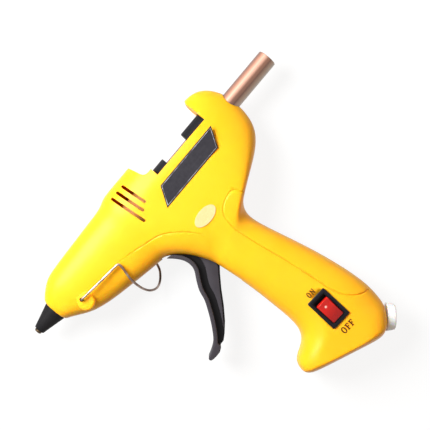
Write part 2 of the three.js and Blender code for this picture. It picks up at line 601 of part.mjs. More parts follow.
function nozzle() {
  return solid(turned([
    [0, ORIFICE_RADIUS], [0, NOZZLE_TIP_RADIUS - GAP], [GAP, NOZZLE_TIP_RADIUS],
    [NOZZLE_SHOW, NOZZLE_TIP_RADIUS], [noseStation, NOZZLE_ROOT_RADIUS],
    [nozzleFlangeStation, NOZZLE_ROOT_RADIUS], [nozzleFlangeStation, NOZZLE_FLANGE_RADIUS],
    [nozzleFlangeStation + FLANGE_THICKNESS, NOZZLE_FLANGE_RADIUS],
    [nozzleFlangeStation + FLANGE_THICKNESS, NOZZLE_SHANK_RADIUS],
    [chamberStart + NOZZLE_SHANK_LENGTH, NOZZLE_SHANK_RADIUS],
    [chamberStart + NOZZLE_SHANK_LENGTH, MELT_BORE_RADIUS],
    [ORIFICE_LENGTH + MELT_BORE_RADIUS, MELT_BORE_RADIUS], [ORIFICE_LENGTH, ORIFICE_RADIUS],
  ]));
}

// The black cone has a thin lip at the tip and a flange that the nose holds from inside.
function nozzleBoot() {
  return solid(turned([
    [NOZZLE_SHOW, NOZZLE_TIP_RADIUS + GAP], [NOZZLE_SHOW, NOZZLE_TIP_RADIUS + GAP + BOOT_LIP],
    [noseStation, BOOT_RADIUS], [NOSE_DEPTH, BOOT_RADIUS], [NOSE_DEPTH, BOOT_FLANGE_RADIUS],
    [NOSE_DEPTH + FLANGE_THICKNESS, BOOT_FLANGE_RADIUS],
    [NOSE_DEPTH + FLANGE_THICKNESS, NOZZLE_ROOT_RADIUS + GAP], [noseStation, NOZZLE_ROOT_RADIUS + GAP],
  ]));
}

// Aluminium chamber: a socket for the nozzle, a bore for the stick and a tunnel under it for the heater.
function meltChamber() {
  const neckStart = chamberEnd - CHAMBER_NECK_LENGTH;
  const socketEnd = chamberStart + SOCKET_DEPTH;
  const round = solid(turned([
    [chamberStart, NOZZLE_SHANK_RADIUS + GAP], [chamberStart, CHAMBER_RADIUS], [neckStart, CHAMBER_RADIUS],
    [neckStart, CHAMBER_NECK_RADIUS], [chamberEnd, CHAMBER_NECK_RADIUS], [chamberEnd, stickBore],
    [socketEnd, stickBore], [socketEnd, NOZZLE_SHANK_RADIUS + GAP],
  ]));
  const floor = -CHAMBER_RADIUS - TUNNEL_DEPTH;
  const tunnel = block(tunnelStart, tunnelEnd, floor, -STICK_RADIUS,
    -TUNNEL_HALF, TUNNEL_HALF);
  const slot = block(0, tunnelStart + OVERRUN, floor + TUNNEL_WALL,
    -CHAMBER_RADIUS - TUNNEL_WALL / 2, -TUNNEL_HALF + TUNNEL_WALL, TUNNEL_HALF - TUNNEL_WALL);
  return cut(join(round, tunnel), slot, boreTool(stickBore, socketEnd, chamberEnd + OVERRUN));
}

function ptcHeater() {
  return block(tunnelStart, tunnelEnd, heaterTop - HEATER_THICKNESS, heaterTop,
    -heaterHalf, heaterHalf);
}

function heaterClamp() {
  const top = heaterTop - HEATER_THICKNESS - GAP;
  return block(tunnelStart, tunnelEnd, top - HEATER_CLAMP_THICKNESS, top,
    -heaterHalf, heaterHalf);
}

function entrySleeve() {
  const start = chamberEnd - CHAMBER_NECK_LENGTH + GAP;
  return solid(turned([
    [start, CHAMBER_NECK_RADIUS + GAP], [start, SLEEVE_RADIUS], [sleeveEnd, SLEEVE_RADIUS],
    [sleeveEnd, stickBore], [chamberEnd + GAP, stickBore], [chamberEnd + GAP, CHAMBER_NECK_RADIUS + GAP],
  ]));
}

function sleeveClip() {
  const start = chamberEnd - CHAMBER_NECK_LENGTH / 2;
  const inner = SLEEVE_RADIUS + GAP;
  return solid(turned([
    [start, inner], [start, inner + CLIP_THICKNESS], [start + CLIP_WIDTH, inner + CLIP_THICKNESS],
    [start + CLIP_WIDTH, inner],
  ]));
}

// Black guide between the sleeve and the window, with its neck held in the bulkhead.
function guideCollar() {
  return solid(turned([
    [sleeveEnd + GAP, stickBore], [sleeveEnd + GAP, COLLAR_NECK_RADIUS], [windowStart, COLLAR_NECK_RADIUS],
    [windowStart, COLLAR_RADIUS], [collarEnd, COLLAR_RADIUS], [collarEnd, stickBore],
  ]));
}

function glueStick() {
  return solid(new THREE.CylinderGeometry(STICK_RADIUS, STICK_RADIUS, STICK_LENGTH, FINE_SIDES)
    .rotateZ(Math.PI / 2).translate(stickEnd - STICK_LENGTH / 2, 0, 0));
}

// Black carriage round the stick, with cheeks below for the grip lever and its pin.
function feedCarriage() {
  const round = boreTool(CARRIAGE_RADIUS, carriageStart, carriageEnd);
  const lugStart = leverPivot.x - LUG_LENGTH / 2;
  const lugBottom = leverPivot.y - LUG_WALL;
  const lug = block(lugStart, lugStart + LUG_LENGTH, lugBottom, -STICK_RADIUS, -LUG_HALF, LUG_HALF);
  const slot = block(lugStart - WALL, lugStart + LUG_LENGTH + GAP, lugBottom - OVERRUN, 0,
    -linkHoleHalf, linkHoleHalf);
  return cut(join(round, lug), slot, boreTool(stickBore, 0, BODY_LENGTH + OVERRUN),
    bar(leverPivot, PIN_RADIUS + GAP, -OVERRUN, OVERRUN));
}

function gripLever() {
  const outline = leverShares
    .map(([x, y]) => new THREE.Vector2(x, y).multiplyScalar(LEVER_ARM).add(leverPivot));
  return cut(prism(outline, -TONGUE_HALF, TONGUE_HALF),
    bar(leverPivot, PIN_RADIUS + GAP, -OVERRUN, OVERRUN), bar(tailPin, PIN_RADIUS + GAP, -OVERRUN, OVERRUN));
}

// Straight link forked at both ends. Its rear holes are wide, because the loop is open there.
function driveLink() {
  const slots = [[armPin, -1], [tailPin, 1]].map(([pin, way]) => {
    const [x0, x1] = way < 0 ? [pin.x - OVERRUN, pin.x + FORK_REACH] : [pin.x - FORK_REACH, pin.x + OVERRUN];
    return block(x0, x1, -OVERRUN, 0, -linkHoleHalf, linkHoleHalf);
  });
  return cut(prism(capsule(armPin, tailPin, LINK_RADIUS), -LINK_HALF, LINK_HALF), ...slots,
    bar(armPin, PIN_RADIUS + GAP, -OVERRUN, OVERRUN),
    bar(tailPin, PIN_RADIUS + OPEN_PIVOT_CLEARANCE, -OVERRUN, OVERRUN));
}

function pinThrough(place, radius, half) {
  return bar(place, radius, -half, half);
}

// Trigger: a wide finger plate on a narrow web, with a hub on the pivot and an arm up to the link.
function trigger() {
  const front = fingerShares.map(at);
  const back = front.map((p, i) => {
    const along = heading(front, i);
    return p.clone().add(new THREE.Vector2(-along.y, along.x).multiplyScalar(PLATE_THICKNESS));
  });
  const tip = fingerTipShares.map(at);
  const plate = prism([...front, ...tip, ...back.slice(1, -2).reverse()], -PLATE_HALF, PLATE_HALF);
  const web = prism(webShares.map(at), -WEB_HALF, WEB_HALF);
  const hub = bar(triggerPivot, HUB_RADIUS, -WEB_HALF, WEB_HALF);
  const arm = prism(capsule(triggerPivot, armPin, ARM_RADIUS), -TONGUE_HALF, TONGUE_HALF);
  return cut(join(plate, web, hub, arm), bar(triggerPivot, TRIGGER_PIN_RADIUS + GAP, -OVERRUN, OVERRUN),
    bar(armPin, PIN_RADIUS + GAP, -OVERRUN, OVERRUN));
}

// Extension spring from the trigger's arm back to a post in the right shell: one unbroken helix with
// straight hooks on its axis.
function returnSpring() {
  const reach = (springPost.y - triggerPivot.y) * Math.tan(TRIGGER_SWING / 2);
  const start = triggerPivot.x + reach + ARM_RADIUS / Math.cos(TRIGGER_SWING / 2) + GAP;
  const end = springPost.x - SPRING_POST_RADIUS - GAP;
  const coil = SPRING_RADIUS - SPRING_WIRE;
  const steps = SPRING_TURNS * 8;
  const points = [new THREE.Vector3(start, springPost.y, 0)];
  for (let k = 0; k <= steps; k++) {
    const angle = (Math.PI * 2 * k) / 8;
    const x = start + SPRING_HOOK + ((end - start - 2 * SPRING_HOOK) * k) / steps;
    points.push(new THREE.Vector3(x, springPost.y + coil * Math.cos(angle), coil * Math.sin(angle)));
  }
  points.push(new THREE.Vector3(end, springPost.y, 0));
  const rings = points.map((p, i) => {
    const along = heading(points, i);
    const across = new THREE.Vector3(0, 0, 1).cross(along).normalize();
    const up = along.clone().cross(across);
    return Array.from({ length: 5 }, (_, k) => p.clone()
      .addScaledVector(across, SPRING_WIRE * Math.cos((Math.PI * 2 * k) / 5))
      .addScaledVector(up, SPRING_WIRE * Math.sin((Math.PI * 2 * k) / 5)));
  });
  return solid(skin(rings));
}

function wireStand() {
  const ends = [1, -1].map((side) => [
    new THREE.Vector3(standHole.x, standHole.y, side * STAND_END),
    new THREE.Vector3(standHole.x, standHole.y, side * (STAND_LEG_PLANE - 2 * STAND_WIRE)),
  ]);
  const route = standShares.map(([x, y, z]) => new THREE.Vector3(x * BODY_LENGTH, heightOf(y),
    z * STAND_LEG_PLANE));
  return solid(wire([...ends[0], ...route, ...ends[1].reverse()], STAND_WIRE, 68, 6));
}

// Shell screws go in from the right, head first into a deep well.
function shellScrew(place) {
  const head = -SCREW_SEAT - GAP;
  return join(bar(place, SCREW_RADIUS, head - SCREW_HEAD / 2, SCREW_REACH),
    bar(place, SCREW_HEAD_RADIUS, head - SCREW_HEAD, head));
}

function clampScrew(place) {
  const seat = CLAMP_PLANE + CLAMP_THICKNESS + GAP;
  return join(bar(place, CLAMP_SCREW_RADIUS, seat - CLAMP_SCREW_LENGTH, seat + SCREW_HEAD / 2),
    bar(place, CLAMP_SCREW_HEAD_RADIUS, seat, seat + SCREW_HEAD));
}

function switchBody() {
  const bezel = switchBlock(SWITCH_WIDTH, SWITCH_LENGTH, bezelBottom, bezelTop);
  const box = switchBlock(SWITCH_WIDTH - 2 * BEZEL_RIM, SWITCH_LENGTH - 2 * BEZEL_RIM,
    bezelBottom - SWITCH_DEPTH, bezelTop);
  const pocket = switchBlock(ROCKER_WIDTH + 2 * GAP, ROCKER_LENGTH + 2 * ROCKER_PLAY,
    bezelTop - POCKET_DEPTH, OVERRUN);
  return cut(join(bezel, box), pocket);
}

// The rocker's dished top is tilted with the OFF end pressed in. Its underside is round about its pivot.
function switchRocker() {
  const half = ROCKER_LENGTH / 2;
  const rise = ROCKER_PIVOT_DEPTH + ROCKER_RISE;
  const belly = POCKET_DEPTH - ROCKER_PIVOT_DEPTH - SIDE_CLEARANCE - GAP;
  const outline = [[-half, rise], [0, rise - ROCKER_DISH], [half, rise]];
  const steps = SIDES / 2;
  for (let k = 0; k <= steps; k++) {
    const angle = (Math.PI * k) / steps;
    outline.push([belly * Math.cos(angle), -belly * Math.sin(angle)]);
  }
  const shape = new THREE.Shape(outline.map(([y, z]) => new THREE.Vector2(y, z)));
  const geometry = new THREE.ExtrudeGeometry(shape, { depth: ROCKER_WIDTH, bevelEnabled: false });
  geometry.translate(0, 0, -ROCKER_WIDTH / 2).rotateY(Math.PI / 2).rotateX(Math.PI / 2);
  geometry.rotateX(ROCKER_TILT);
  return solid(placed(geometry, switchPlace, SWITCH_TILT, bezelTop - ROCKER_PIVOT_DEPTH));
}

function switchTerminal(slot) {
  const top = bezelBottom - SWITCH_DEPTH - GAP;
  const geometry = new THREE.BoxGeometry(TERMINAL_WIDTH, TERMINAL_THICKNESS, TERMINAL_LENGTH);
  geometry.translate(0, slot * TERMINAL_PITCH, 0);
  return solid(placed(geometry, switchPlace, SWITCH_TILT, top - TERMINAL_LENGTH / 2));
}

// Flanged bush at the handle's lower corner. The cord's bore runs through it.
function cordGland() {
  const inner = -glandWall - GAP;
  const profile = turned([
    [GLAND_SHOW, CORD_BORE_RADIUS], [GLAND_SHOW, GLAND_RADIUS - GLAND_CHAMFER],
    [GLAND_SHOW - GLAND_CHAMFER, GLAND_RADIUS], [GAP, GLAND_RADIUS], [GAP, GLAND_NECK_RADIUS],
    [inner, GLAND_NECK_RADIUS], [inner, GLAND_INNER_RADIUS],
    [inner - GLAND_INNER_LENGTH, GLAND_INNER_RADIUS], [inner - GLAND_INNER_LENGTH, CORD_BORE_RADIUS],
  ]);
  return solid(placed(profile, glandBase, GLAND_ANGLE));
}

function cordClamp() {
  const geometry = new THREE.BoxGeometry(CLAMP_WIDTH, CLAMP_LENGTH, CLAMP_THICKNESS);
  const plate = solid(placed(geometry, clampPlace, GLAND_ANGLE, CLAMP_PLANE + CLAMP_THICKNESS / 2));
  const holes = clampScrewPlaces.map((place) => bar(place, CLAMP_SCREW_RADIUS + GAP, -OVERRUN, OVERRUN));
  return cut(plate, ...holes);
}

function lead(before, shares, after) {
  const middle = shares.map(([x, y, z]) => new THREE.Vector3(x * BODY_LENGTH, heightOf(y), z * BODY_HALF));
  const route = [...before, ...middle, ...after];
  return solid(wire(route, LEAD_RADIUS, 2 * route.length, 6));
}

// A lead's way to the heater, just behind the tunnel.
function heaterEnd(side) {
  const x = tunnelEnd + LEAD_CLEARANCE;
  const y = heaterTop - HEATER_THICKNESS / 2;
  return [
    new THREE.Vector3(x + LEAD_TURN, y - LEAD_TURN + LEAD_CLEARANCE, 2 * side * LEAD_SPREAD),
    new THREE.Vector3(x, y, side * LEAD_SPREAD),
  ];
}

// Where a lead leaves the cord's end and passes under the clamp.
function cordEnd(side) {
  const parting = glandHeading.clone().multiplyScalar(CORD_END).add(clampPlace);
  const under = glandHeading.clone().multiplyScalar(CLAMP_THICKNESS).add(clampPlace);
  return [
    new THREE.Vector3(parting.x, parting.y, side * LEAD_SPREAD / 2),
    new THREE.Vector3(under.x, under.y, side * CLAMP_THICKNESS - LEAD_CLEARANCE),
  ];
}

// A lead's end under one of the switch's terminals.
function terminalEnd(slot) {
  const place = new THREE.Vector2(0, slot * TERMINAL_PITCH).rotateAround(new THREE.Vector2(), SWITCH_TILT)
    .add(switchPlace);
  const z = bezelBottom - SWITCH_DEPTH - GAP - TERMINAL_LENGTH - LEAD_GAP - LEAD_RADIUS;
  return new THREE.Vector3(place.x, place.y, z);
}

function ratingLabel() {
  return prism(labelShares.map(at), BODY_HALF + GAP, BODY_HALF + GAP + LABEL_THICKNESS);
}

function qualitySticker() {
  const place = at(stickerShare);
  const geometry = new THREE.CylinderGeometry(1, 1, LABEL_THICKNESS, SIDES).rotateX(Math.PI / 2);
  geometry.scale(STICKER_LENGTH / 2, STICKER_WIDTH / 2, 1);
  return solid(geometry.translate(place.x, place.y, BODY_HALF + GAP + LABEL_THICKNESS / 2));
}

const gun = new THREE.Group();
gun.position.set(-originShare * BODY_LENGTH, ORIGIN_DROP, BODY_HALF);

function add(name, shape, material) {
  const mesh = new THREE.Mesh(geometryOf(shape), material);
  mesh.name = name;
  gun.add(mesh);
}

add('left_shell', leftShell(), yellow);
add('right_shell', rightShell(), yellow);
add('nozzle', nozzle(), brass);
add('nozzle_boot', nozzleBoot(), black);
add('melt_chamber', meltChamber(), aluminium);
add('ptc_heater', ptcHeater(), ceramic);
add('heater_clamp', heaterClamp(), steel);
add('entry_sleeve', entrySleeve(), silicone);
add('sleeve_clip', sleeveClip(), steel);
add('guide_collar', guideCollar(), black);
add('feed_carriage', feedCarriage(), black);
add('lever_pin', pinThrough(leverPivot, PIN_RADIUS, LUG_HALF), steel);
add('grip_lever', gripLever(), steel);
add('tail_pin', pinThrough(tailPin, PIN_RADIUS, LINK_HALF), steel);
add('drive_link', driveLink(), white);
add('trigger', trigger(), black);
add('link_pin', pinThrough(armPin, PIN_RADIUS, LINK_HALF), steel);
add('trigger_pin', pinThrough(triggerPivot, TRIGGER_PIN_RADIUS, TRIGGER_PIN_HALF), steel);
add('return_spring', returnSpring(), steel);
add('glue_stick', glueStick(), copper);
add('wire_stand', wireStand(), steel);
add('switch_body', switchBody(), black);
add('switch_rocker', switchRocker(), red);
[-1, 0, 1].forEach((slot, i) => add(`switch_terminal_${i + 1}`, switchTerminal(slot), brass));
add('cord_gland', cordGland(), white);
add('cord_clamp', cordClamp(), white);
clampScrewPlaces.forEach((place, i) => add(`clamp_screw_${i + 1}`, clampScrew(place), steel));
screwShares.forEach((share, i) => add(`shell_screw_${i + 1}`, shellScrew(at(share)), steel));
const leaving = terminalEnd(1).add(new THREE.Vector3(LEAD_SPREAD, LEAD_RISE, LEAD_RISE));
add('heater_lead', lead([terminalEnd(1), leaving], heaterLeadShares, heaterEnd(1)), red);
add('neutral_lead', lead(cordEnd(-1), neutralLeadShares, heaterEnd(-1)), white);
add('live_lead', lead(cordEnd(1), [], [terminalEnd(-1)]), black);
add('rating_label', ratingLabel(), charcoal);
add('quality_sticker', qualitySticker(), foil);

export default gun;
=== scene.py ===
# A hot glue gun lying on its right side, seen from straight above. Each piece is dressed in the order in
# which the gun is put together. The gun's own sizes and places are in millimetres, and those of the
# camera, the lamps, the table and the materials are in metres.
import math

import bmesh
import bpy
from mathutils import Matrix, Vector


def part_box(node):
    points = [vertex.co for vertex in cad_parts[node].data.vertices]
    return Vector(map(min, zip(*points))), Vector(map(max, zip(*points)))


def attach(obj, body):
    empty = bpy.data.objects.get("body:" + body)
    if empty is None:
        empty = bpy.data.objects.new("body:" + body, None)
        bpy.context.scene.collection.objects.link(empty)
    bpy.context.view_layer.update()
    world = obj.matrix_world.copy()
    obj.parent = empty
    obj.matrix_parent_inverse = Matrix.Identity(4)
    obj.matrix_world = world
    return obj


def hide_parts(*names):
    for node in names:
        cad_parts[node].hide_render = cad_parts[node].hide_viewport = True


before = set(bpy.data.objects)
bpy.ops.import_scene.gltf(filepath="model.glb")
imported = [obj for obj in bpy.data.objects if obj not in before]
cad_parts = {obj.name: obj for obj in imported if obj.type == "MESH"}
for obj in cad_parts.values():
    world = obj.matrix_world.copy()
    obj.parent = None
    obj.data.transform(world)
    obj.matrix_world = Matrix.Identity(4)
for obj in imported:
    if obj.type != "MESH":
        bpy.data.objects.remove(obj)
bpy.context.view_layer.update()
bpy.ops.object.select_all(action="DESELECT")
scene = bpy.context.scene

# Camera and light
# The gun is photographed from straight above, turned in the picture so that the nozzle points down to the
# left. A soft key lamp stands to the left of the picture, and warm light fills in from the right.
PICTURE_TURN = math.radians(-50)
PICTURE_WIDTH = 0.2408
LOOK_AT = Vector((0.00355, -0.0221))
LAMPS_AIM = Vector((0, -0.04, 0))
CAMERA_DISTANCE = 0.6
SENSOR_WIDTH = 36
FLAT_SIDE = 17.5
MM_PER_M = 1000
right = Vector((math.cos(PICTURE_TURN), math.sin(PICTURE_TURN), 0))
up = Vector((-math.sin(PICTURE_TURN), math.cos(PICTURE_TURN), 0))
overhead = Vector((0, 0, 1))

camera = bpy.data.objects.new("camera", bpy.data.cameras.new("camera"))
scene.collection.objects.link(camera)
camera.location = (LOOK_AT.x, LOOK_AT.y, CAMERA_DISTANCE + FLAT_SIDE / MM_PER_M)
camera.rotation_euler = (0, 0, PICTURE_TURN)
camera.data.sensor_width = SENSOR_WIDTH
camera.data.lens = SENSOR_WIDTH * CAMERA_DISTANCE / PICTURE_WIDTH
camera.data.clip_start = 0.01
camera.data.clip_end = 20
scene.camera = camera
scene.view_settings.view_transform = "Standard"


def lamp(name, direction, distance, size, power, colour):
    """A round soft lamp that shines at the gun from a direction."""
    light = bpy.data.objects.new(name, bpy.data.lights.new(name, "AREA"))
    light.data.shape = "DISK"
    light.data.size = size
    light.data.energy = power
    light.data.color = colour
    light.location = LAMPS_AIM + direction.normalized() * distance
    light.rotation_euler = direction.to_track_quat("Z", "Y").to_euler()
    scene.collection.objects.link(light)


lamp("key", -0.6 * right + 0.3 * up + 0.75 * overhead, distance=0.62, size=0.36, power=8.5,
     colour=(1, 0.99, 0.97))
lamp("fill", 0.9 * right + 0.3 * up + 0.6 * overhead, distance=1.3, size=0.9, power=3.6,
     colour=(1, 0.68, 0.42))

# World and table
# A white sweep with the gun's own soft shadow on it. The surroundings show white to the camera and in
# gloss, and light the gun a little warmly.


class Wire:
    """A socket in a material, which Python's operators join to others through Math nodes."""

    def __init__(self, tree, socket=None):
        self.tree = tree
        self.socket = socket

    def node(self, kind, settings=None, inputs=None, output=0):
        """A new node: its settings come first, then the values or links of its sockets."""
        made = self.tree.nodes.new(kind)
        for name, value in (settings or {}).items():
            if name == "stops":
                ramp = made.color_ramp.elements
                while len(ramp) < len(value):
                    ramp.new(1)
                for stop, (position, colour) in zip(ramp, value):
                    stop.position = position
                    stop.color = colour
            else:
                setattr(made, name, value)
        for name, value in (inputs or {}).items():
            if isinstance(value, Wire):
                self.tree.links.new(value.socket, made.inputs[name])
            else:
                made.inputs[name].default_value = value
        return Wire(self.tree, made.outputs[output] if made.outputs else None)

    def math(self, operation, *values):
        return self.node("ShaderNodeMath", {"operation": operation}, dict(enumerate(values)))

    def __add__(self, other):
        return self.math("ADD", self, other)

    def __sub__(self, other):
        return self.math("SUBTRACT", self, other)

    def __rsub__(self, other):
        return self.math("SUBTRACT", other, self)

    def __mul__(self, other):
        return self.math("MULTIPLY", self, other)

    def __truediv__(self, other):
        return self.math("DIVIDE", self, other)

    def __abs__(self):
        return self.math("ABSOLUTE", self)

    __radd__ = __add__
    __rmul__ = __mul__

    def step(self, low, high):
        """Rises smoothly from 0 at a low value to 1 at a high one."""
        return self.node("ShaderNodeMapRange", {"interpolation_type": "SMOOTHSTEP"},
                         {"Value": self, "From Min": low, "From Max": high})

    def mix(self, first, second):
        """A colour from the first at 0 to the second at 1, which are the node's sockets 6 and 7."""
        return self.node("ShaderNodeMix", {"data_type": "RGBA"}, {0: self, 6: first, 7: second}, 2)

    def place(self):
        """Places on the piece itself."""
        return self.node("ShaderNodeTexCoord", output="Object")

    def part(self, axis):
        """One coordinate of a place."""
        return self.node("ShaderNodeSeparateXYZ", {}, {"Vector": self}, axis)

    def noise(self, scale, detail=2):
        """Soft spots over the places that this wire holds."""
        return self.node("ShaderNodeTexNoise", {}, {"Vector": self, "Scale": scale, "Detail": detail})

    def soft_edges(self, radius):
        """A normal that rounds the real edges by a radius in metres."""
        return self.node("ShaderNodeBevel", {"samples": 4}, {"Radius": radius})

    def bump(self, distance, **sockets):
        """A normal that stands this wire's height out by a distance in metres."""
        return self.node("ShaderNodeBump", {},
                         {"Height": self, "Distance": distance, "Strength": 1.0, **sockets})

    def surface(self, sockets):
        """Ends a material in its shader."""
        shader = self.node("ShaderNodeBsdfPrincipled", {}, sockets)
        self.node("ShaderNodeOutputMaterial", {}, {"Surface": shader})


def material(name):
    """A new empty material, and a wire to start its nodes from."""
    made = bpy.data.materials.new(name)
    made.use_nodes = True
    made.node_tree.nodes.clear()
    return made, Wire(made.node_tree)


def looked_at(wire):
    """1 for rays from the camera, straight, off gloss or through glass, and 0 for rays that light the gun."""
    straight, glossy, through = (wire.node("ShaderNodeLightPath", output="Is %s Ray" % kind)
                                 for kind in ("Camera", "Glossy", "Transmission"))
    return wire.math("MAXIMUM", straight, wire.math("MAXIMUM", glossy, through))


world = bpy.data.worlds.new("studio")
scene.world = world
world.use_nodes = True
world.node_tree.nodes.clear()
sky = Wire(world.node_tree)
ambient = sky.node("ShaderNodeBackground", {}, {"Color": (1, 0.86, 0.7, 1), "Strength": 0.22})
backdrop = sky.node("ShaderNodeBackground", {}, {"Color": (1, 1, 1, 1), "Strength": 1})
surroundings = sky.node("ShaderNodeMixShader", {}, {0: looked_at(sky), 1: ambient, 2: backdrop})
sky.node("ShaderNodeOutputWorld", {}, {"Surface": surroundings})

TABLE_REACH = 1.5
bpy.ops.mesh.primitive_plane_add(size=2 * TABLE_REACH, location=(0, 0, 0))
bpy.ops.object.transform_apply(location=True, rotation=True, scale=True)
table = bpy.context.object
table.name = "table"
paper, sheet = material("white_sweep")
glow = sheet.node("ShaderNodeEmission", {}, {"Color": (1, 1, 1, 1), "Strength": 0.885})
faint = sheet.node("ShaderNodeBsdfDiffuse", {}, {"Color": (0.098, 0.1, 0.103, 1)})
shadowed = sheet.node("ShaderNodeAddShader", {}, {0: glow, 1: faint})
plain = sheet.node("ShaderNodeBsdfDiffuse", {}, {"Color": (0.34, 0.34, 0.33, 1)})
blended = sheet.node("ShaderNodeMixShader", {}, {0: looked_at(sheet), 1: plain, 2: shadowed})
sheet.node("ShaderNodeOutputMaterial", {}, {"Surface": blended})
table.data.materials.append(paper)

# Body
# Two half shells of glossy yellow moulded plastic, closed over the works by screws from the right. The
# skin is drawn ring by ring along the barrel and down the handle, then hollowed, pierced and split.
RING_SIDES = 32
ROUNDNESS = 0.8
SOFT_CLAMP = 16.8
SKIN = 1.4
CORE_DEPTH = 0.8
SEAM = 0.15
ORIGIN_BEHIND_TIP = 110.5
ORIGIN_BELOW_AXIS = 12
SAME_PLACE = 1e-6
REAL_EDGE = math.radians(30)
# Each ring: its lower edge's x and y, its upper edge's x and y, half its thickness, and where it isn't as
# round as the rest, its roundness, or that of its upper and its lower side. 1 draws an ellipse.
RINGS = [
    (15.6, -7.0, 15.6, 6.9, 7.3), (17.0, -8.0, 16.8, 8.6, 8.6), (20.1, -10.0, 20.1, 11.2, 10.4),
    (25.0, -13.7, 26.0, 14.6, 11.6), (29.9, -17.0, 30.9, 15.5, 12.4), (40.0, -20.5, 40.0, 16.1, 13.1),
    (50.0, -22.6, 50.0, 16.5, 13.6), (60.0, -24.7, 60.0, 17.0, 13.9), (68.0, -26.3, 68.0, 17.3, 14.4),
    (75.0, -27.4, 76.0, 17.7, 15.2), (78.5, -28.4, 80.1, 19.8, 16.0),
    (80.9, -30.0, 86.0, 20.0, 16.7, 0.8, 0.72), (83.5, -32.0, 94.0, 20.0, 17.5, 0.8, 0.66),
    (86.0, -35.0, 102.0, 20.0, 17.9, 0.8, 0.62), (88.1, -38.0, 112.0, 20.0, 18.2, 0.8, 0.6),
    (89.7, -41.2, 123.9, 20.0, 18.2, 0.8, 0.6), (91.3, -44.8, 138.0, 20.1, 18.2, 0.8, 0.6),
    (92.6, -48.3, 152.0, 20.5, 18.2, 0.85, 0.6), (92.8, -49.1, 160.0, 19.2, 18.1, 0.95, 0.6),
    (93.0, -49.9, 166.3, 13.4, 17.95, 1.0, 0.6), (93.2, -50.7, 169.8, 4.2, 17.75, 1.05, 0.6),
    (93.4, -51.5, 170.0, -4.1, 17.55, 1.05, 0.6), (93.6, -52.3, 168.5, -14.6, 17.35, 1.05, 0.6),
    (93.7, -53.1, 164.1, -22.5, 17.15, 1.05, 0.6), (93.8, -54.0, 156.1, -28.4, 16.95, 1.05, 0.62),
    (94.0, -54.7, 146.0, -33.1, 16.75, 1.0, 0.65), (94.3, -57.4, 136.8, -37.4, 16.5, 0.95, 0.68),
    (94.8, -61.6, 129.4, -41.1, 16.3, 0.9, 0.72), (95.4, -66.6, 126.1, -46.4, 16.1, 0.85, 0.76),
    (96.0, -73.1, 126.1, -53.0, 15.95), (96.5, -82.0, 128.5, -63.7, 15.85), (96.7, -92.0, 132.0, -77.6, 15.9),
    (96.8, -100.5, 135.5, -92.8, 16.3), (96.5, -106.1, 138.0, -108.0, 17.1),
    (95.4, -111.6, 139.0, -119.0, 17.8), (92.5, -115.8, 139.0, -126.0, 18.2),
    (87.6, -118.4, 138.0, -133.3, 18.2), (83.0, -119.9, 136.3, -139.5, 18.2, 0.7),
    (80.1, -122.4, 132.4, -143.6, 18.2, 0.6), (79.1, -125.6, 129.4, -146.1, 18.2, 0.55),
    (79.0, -127.0, 127.6, -147.0, 18.0, 0.55), (79.1, -127.9, 126.5, -147.5, 17.2, 0.55),
    (79.5, -129.0, 125.4, -148.0, 15.4, 0.55), (80.1, -130.2, 124.1, -148.5, 12.0, 0.55),
    (81.2, -131.6, 122.3, -148.9, 7.5, 0.55), (83.2, -133.2, 119.8, -148.7, 3.5, 0.55),
    (86.5, -135.0, 116.5, -147.4, 1.5, 0.55),
]
HOLLOW_RINGS = RINGS[2:40]


def gun(x, y, z=0.0):
    """A place in the frame, from its distances behind the tip, above the barrel's axis and off the split."""
    return Vector((x - ORIGIN_BEHIND_TIP, y + ORIGIN_BELOW_AXIS, z + FLAT_SIDE)) / MM_PER_M


def outward():
    """Turns the faces of the shape in edit mode outwards, and leaves edit mode."""
    bpy.ops.mesh.select_all(action="SELECT")
    bpy.ops.mesh.normals_make_consistent(inside=False)
    bpy.ops.object.mode_set(mode="OBJECT")


def applied(piece, kind, **settings):
    """Gives a piece one modifier and applies it."""
    step = piece.modifiers.new(kind.lower(), kind)
    for name, value in settings.items():
        setattr(step, name, value)
    bpy.context.view_layer.objects.active = piece
    bpy.ops.object.modifier_apply(modifier=step.name)
    return piece


def body(name, inset, rings, levels):
    """The body's form, a given depth inside its outer face."""
    bpy.ops.mesh.primitive_circle_add(vertices=RING_SIDES, radius=1)
    made = bpy.context.object
    made.name = name
    bpy.ops.object.mode_set(mode="EDIT")
    cage = bmesh.from_edit_mesh(made.data)
    turn = cage.verts.layers.float.new("turn")
    for vert in cage.verts:
        vert[turn] = math.atan2(vert.co.y, vert.co.x)
    lows = [Vector(ring[0:2]) for ring in rings]
    highs = [Vector(ring[2:4]) for ring in rings]
    for i, ring in enumerate(rings):
        if i:
            bpy.ops.mesh.extrude_edges_move()
        cage = bmesh.from_edit_mesh(made.data)
        turn = cage.verts.layers.float["turn"]
        before, after = max(i - 1, 0), min(i + 1, len(rings) - 1)
        along_low = (lows[after] - lows[before]).normalized()
        along_high = (highs[after] - highs[before]).normalized()
        low = lows[i] + inset * Vector((-along_low.y, along_low.x))
        high = highs[i] + inset * Vector((along_high.y, -along_high.x))
        roundness = ring[5:] or (ROUNDNESS,)
        for vert in cage.verts:
            if vert.select:
                cosine, sine = math.cos(vert[turn]), math.sin(vert[turn])
                power = roundness[0 if cosine > 0 else -1]
                across = math.copysign(abs(cosine) ** power, cosine)
                rise = math.copysign(abs(sine) ** power, sine)
                place = (low + high) / 2 + (high - low) / 2 * across
                vert.co = gun(place.x, place.y, rise * (ring[4] - inset))
        bmesh.update_edit_mesh(made.data)
    bpy.ops.mesh.select_all(action="SELECT")
    bpy.ops.mesh.fill_holes(sides=0)
    outward()
    return applied(made, "SUBSURF", levels=levels, render_levels=levels)


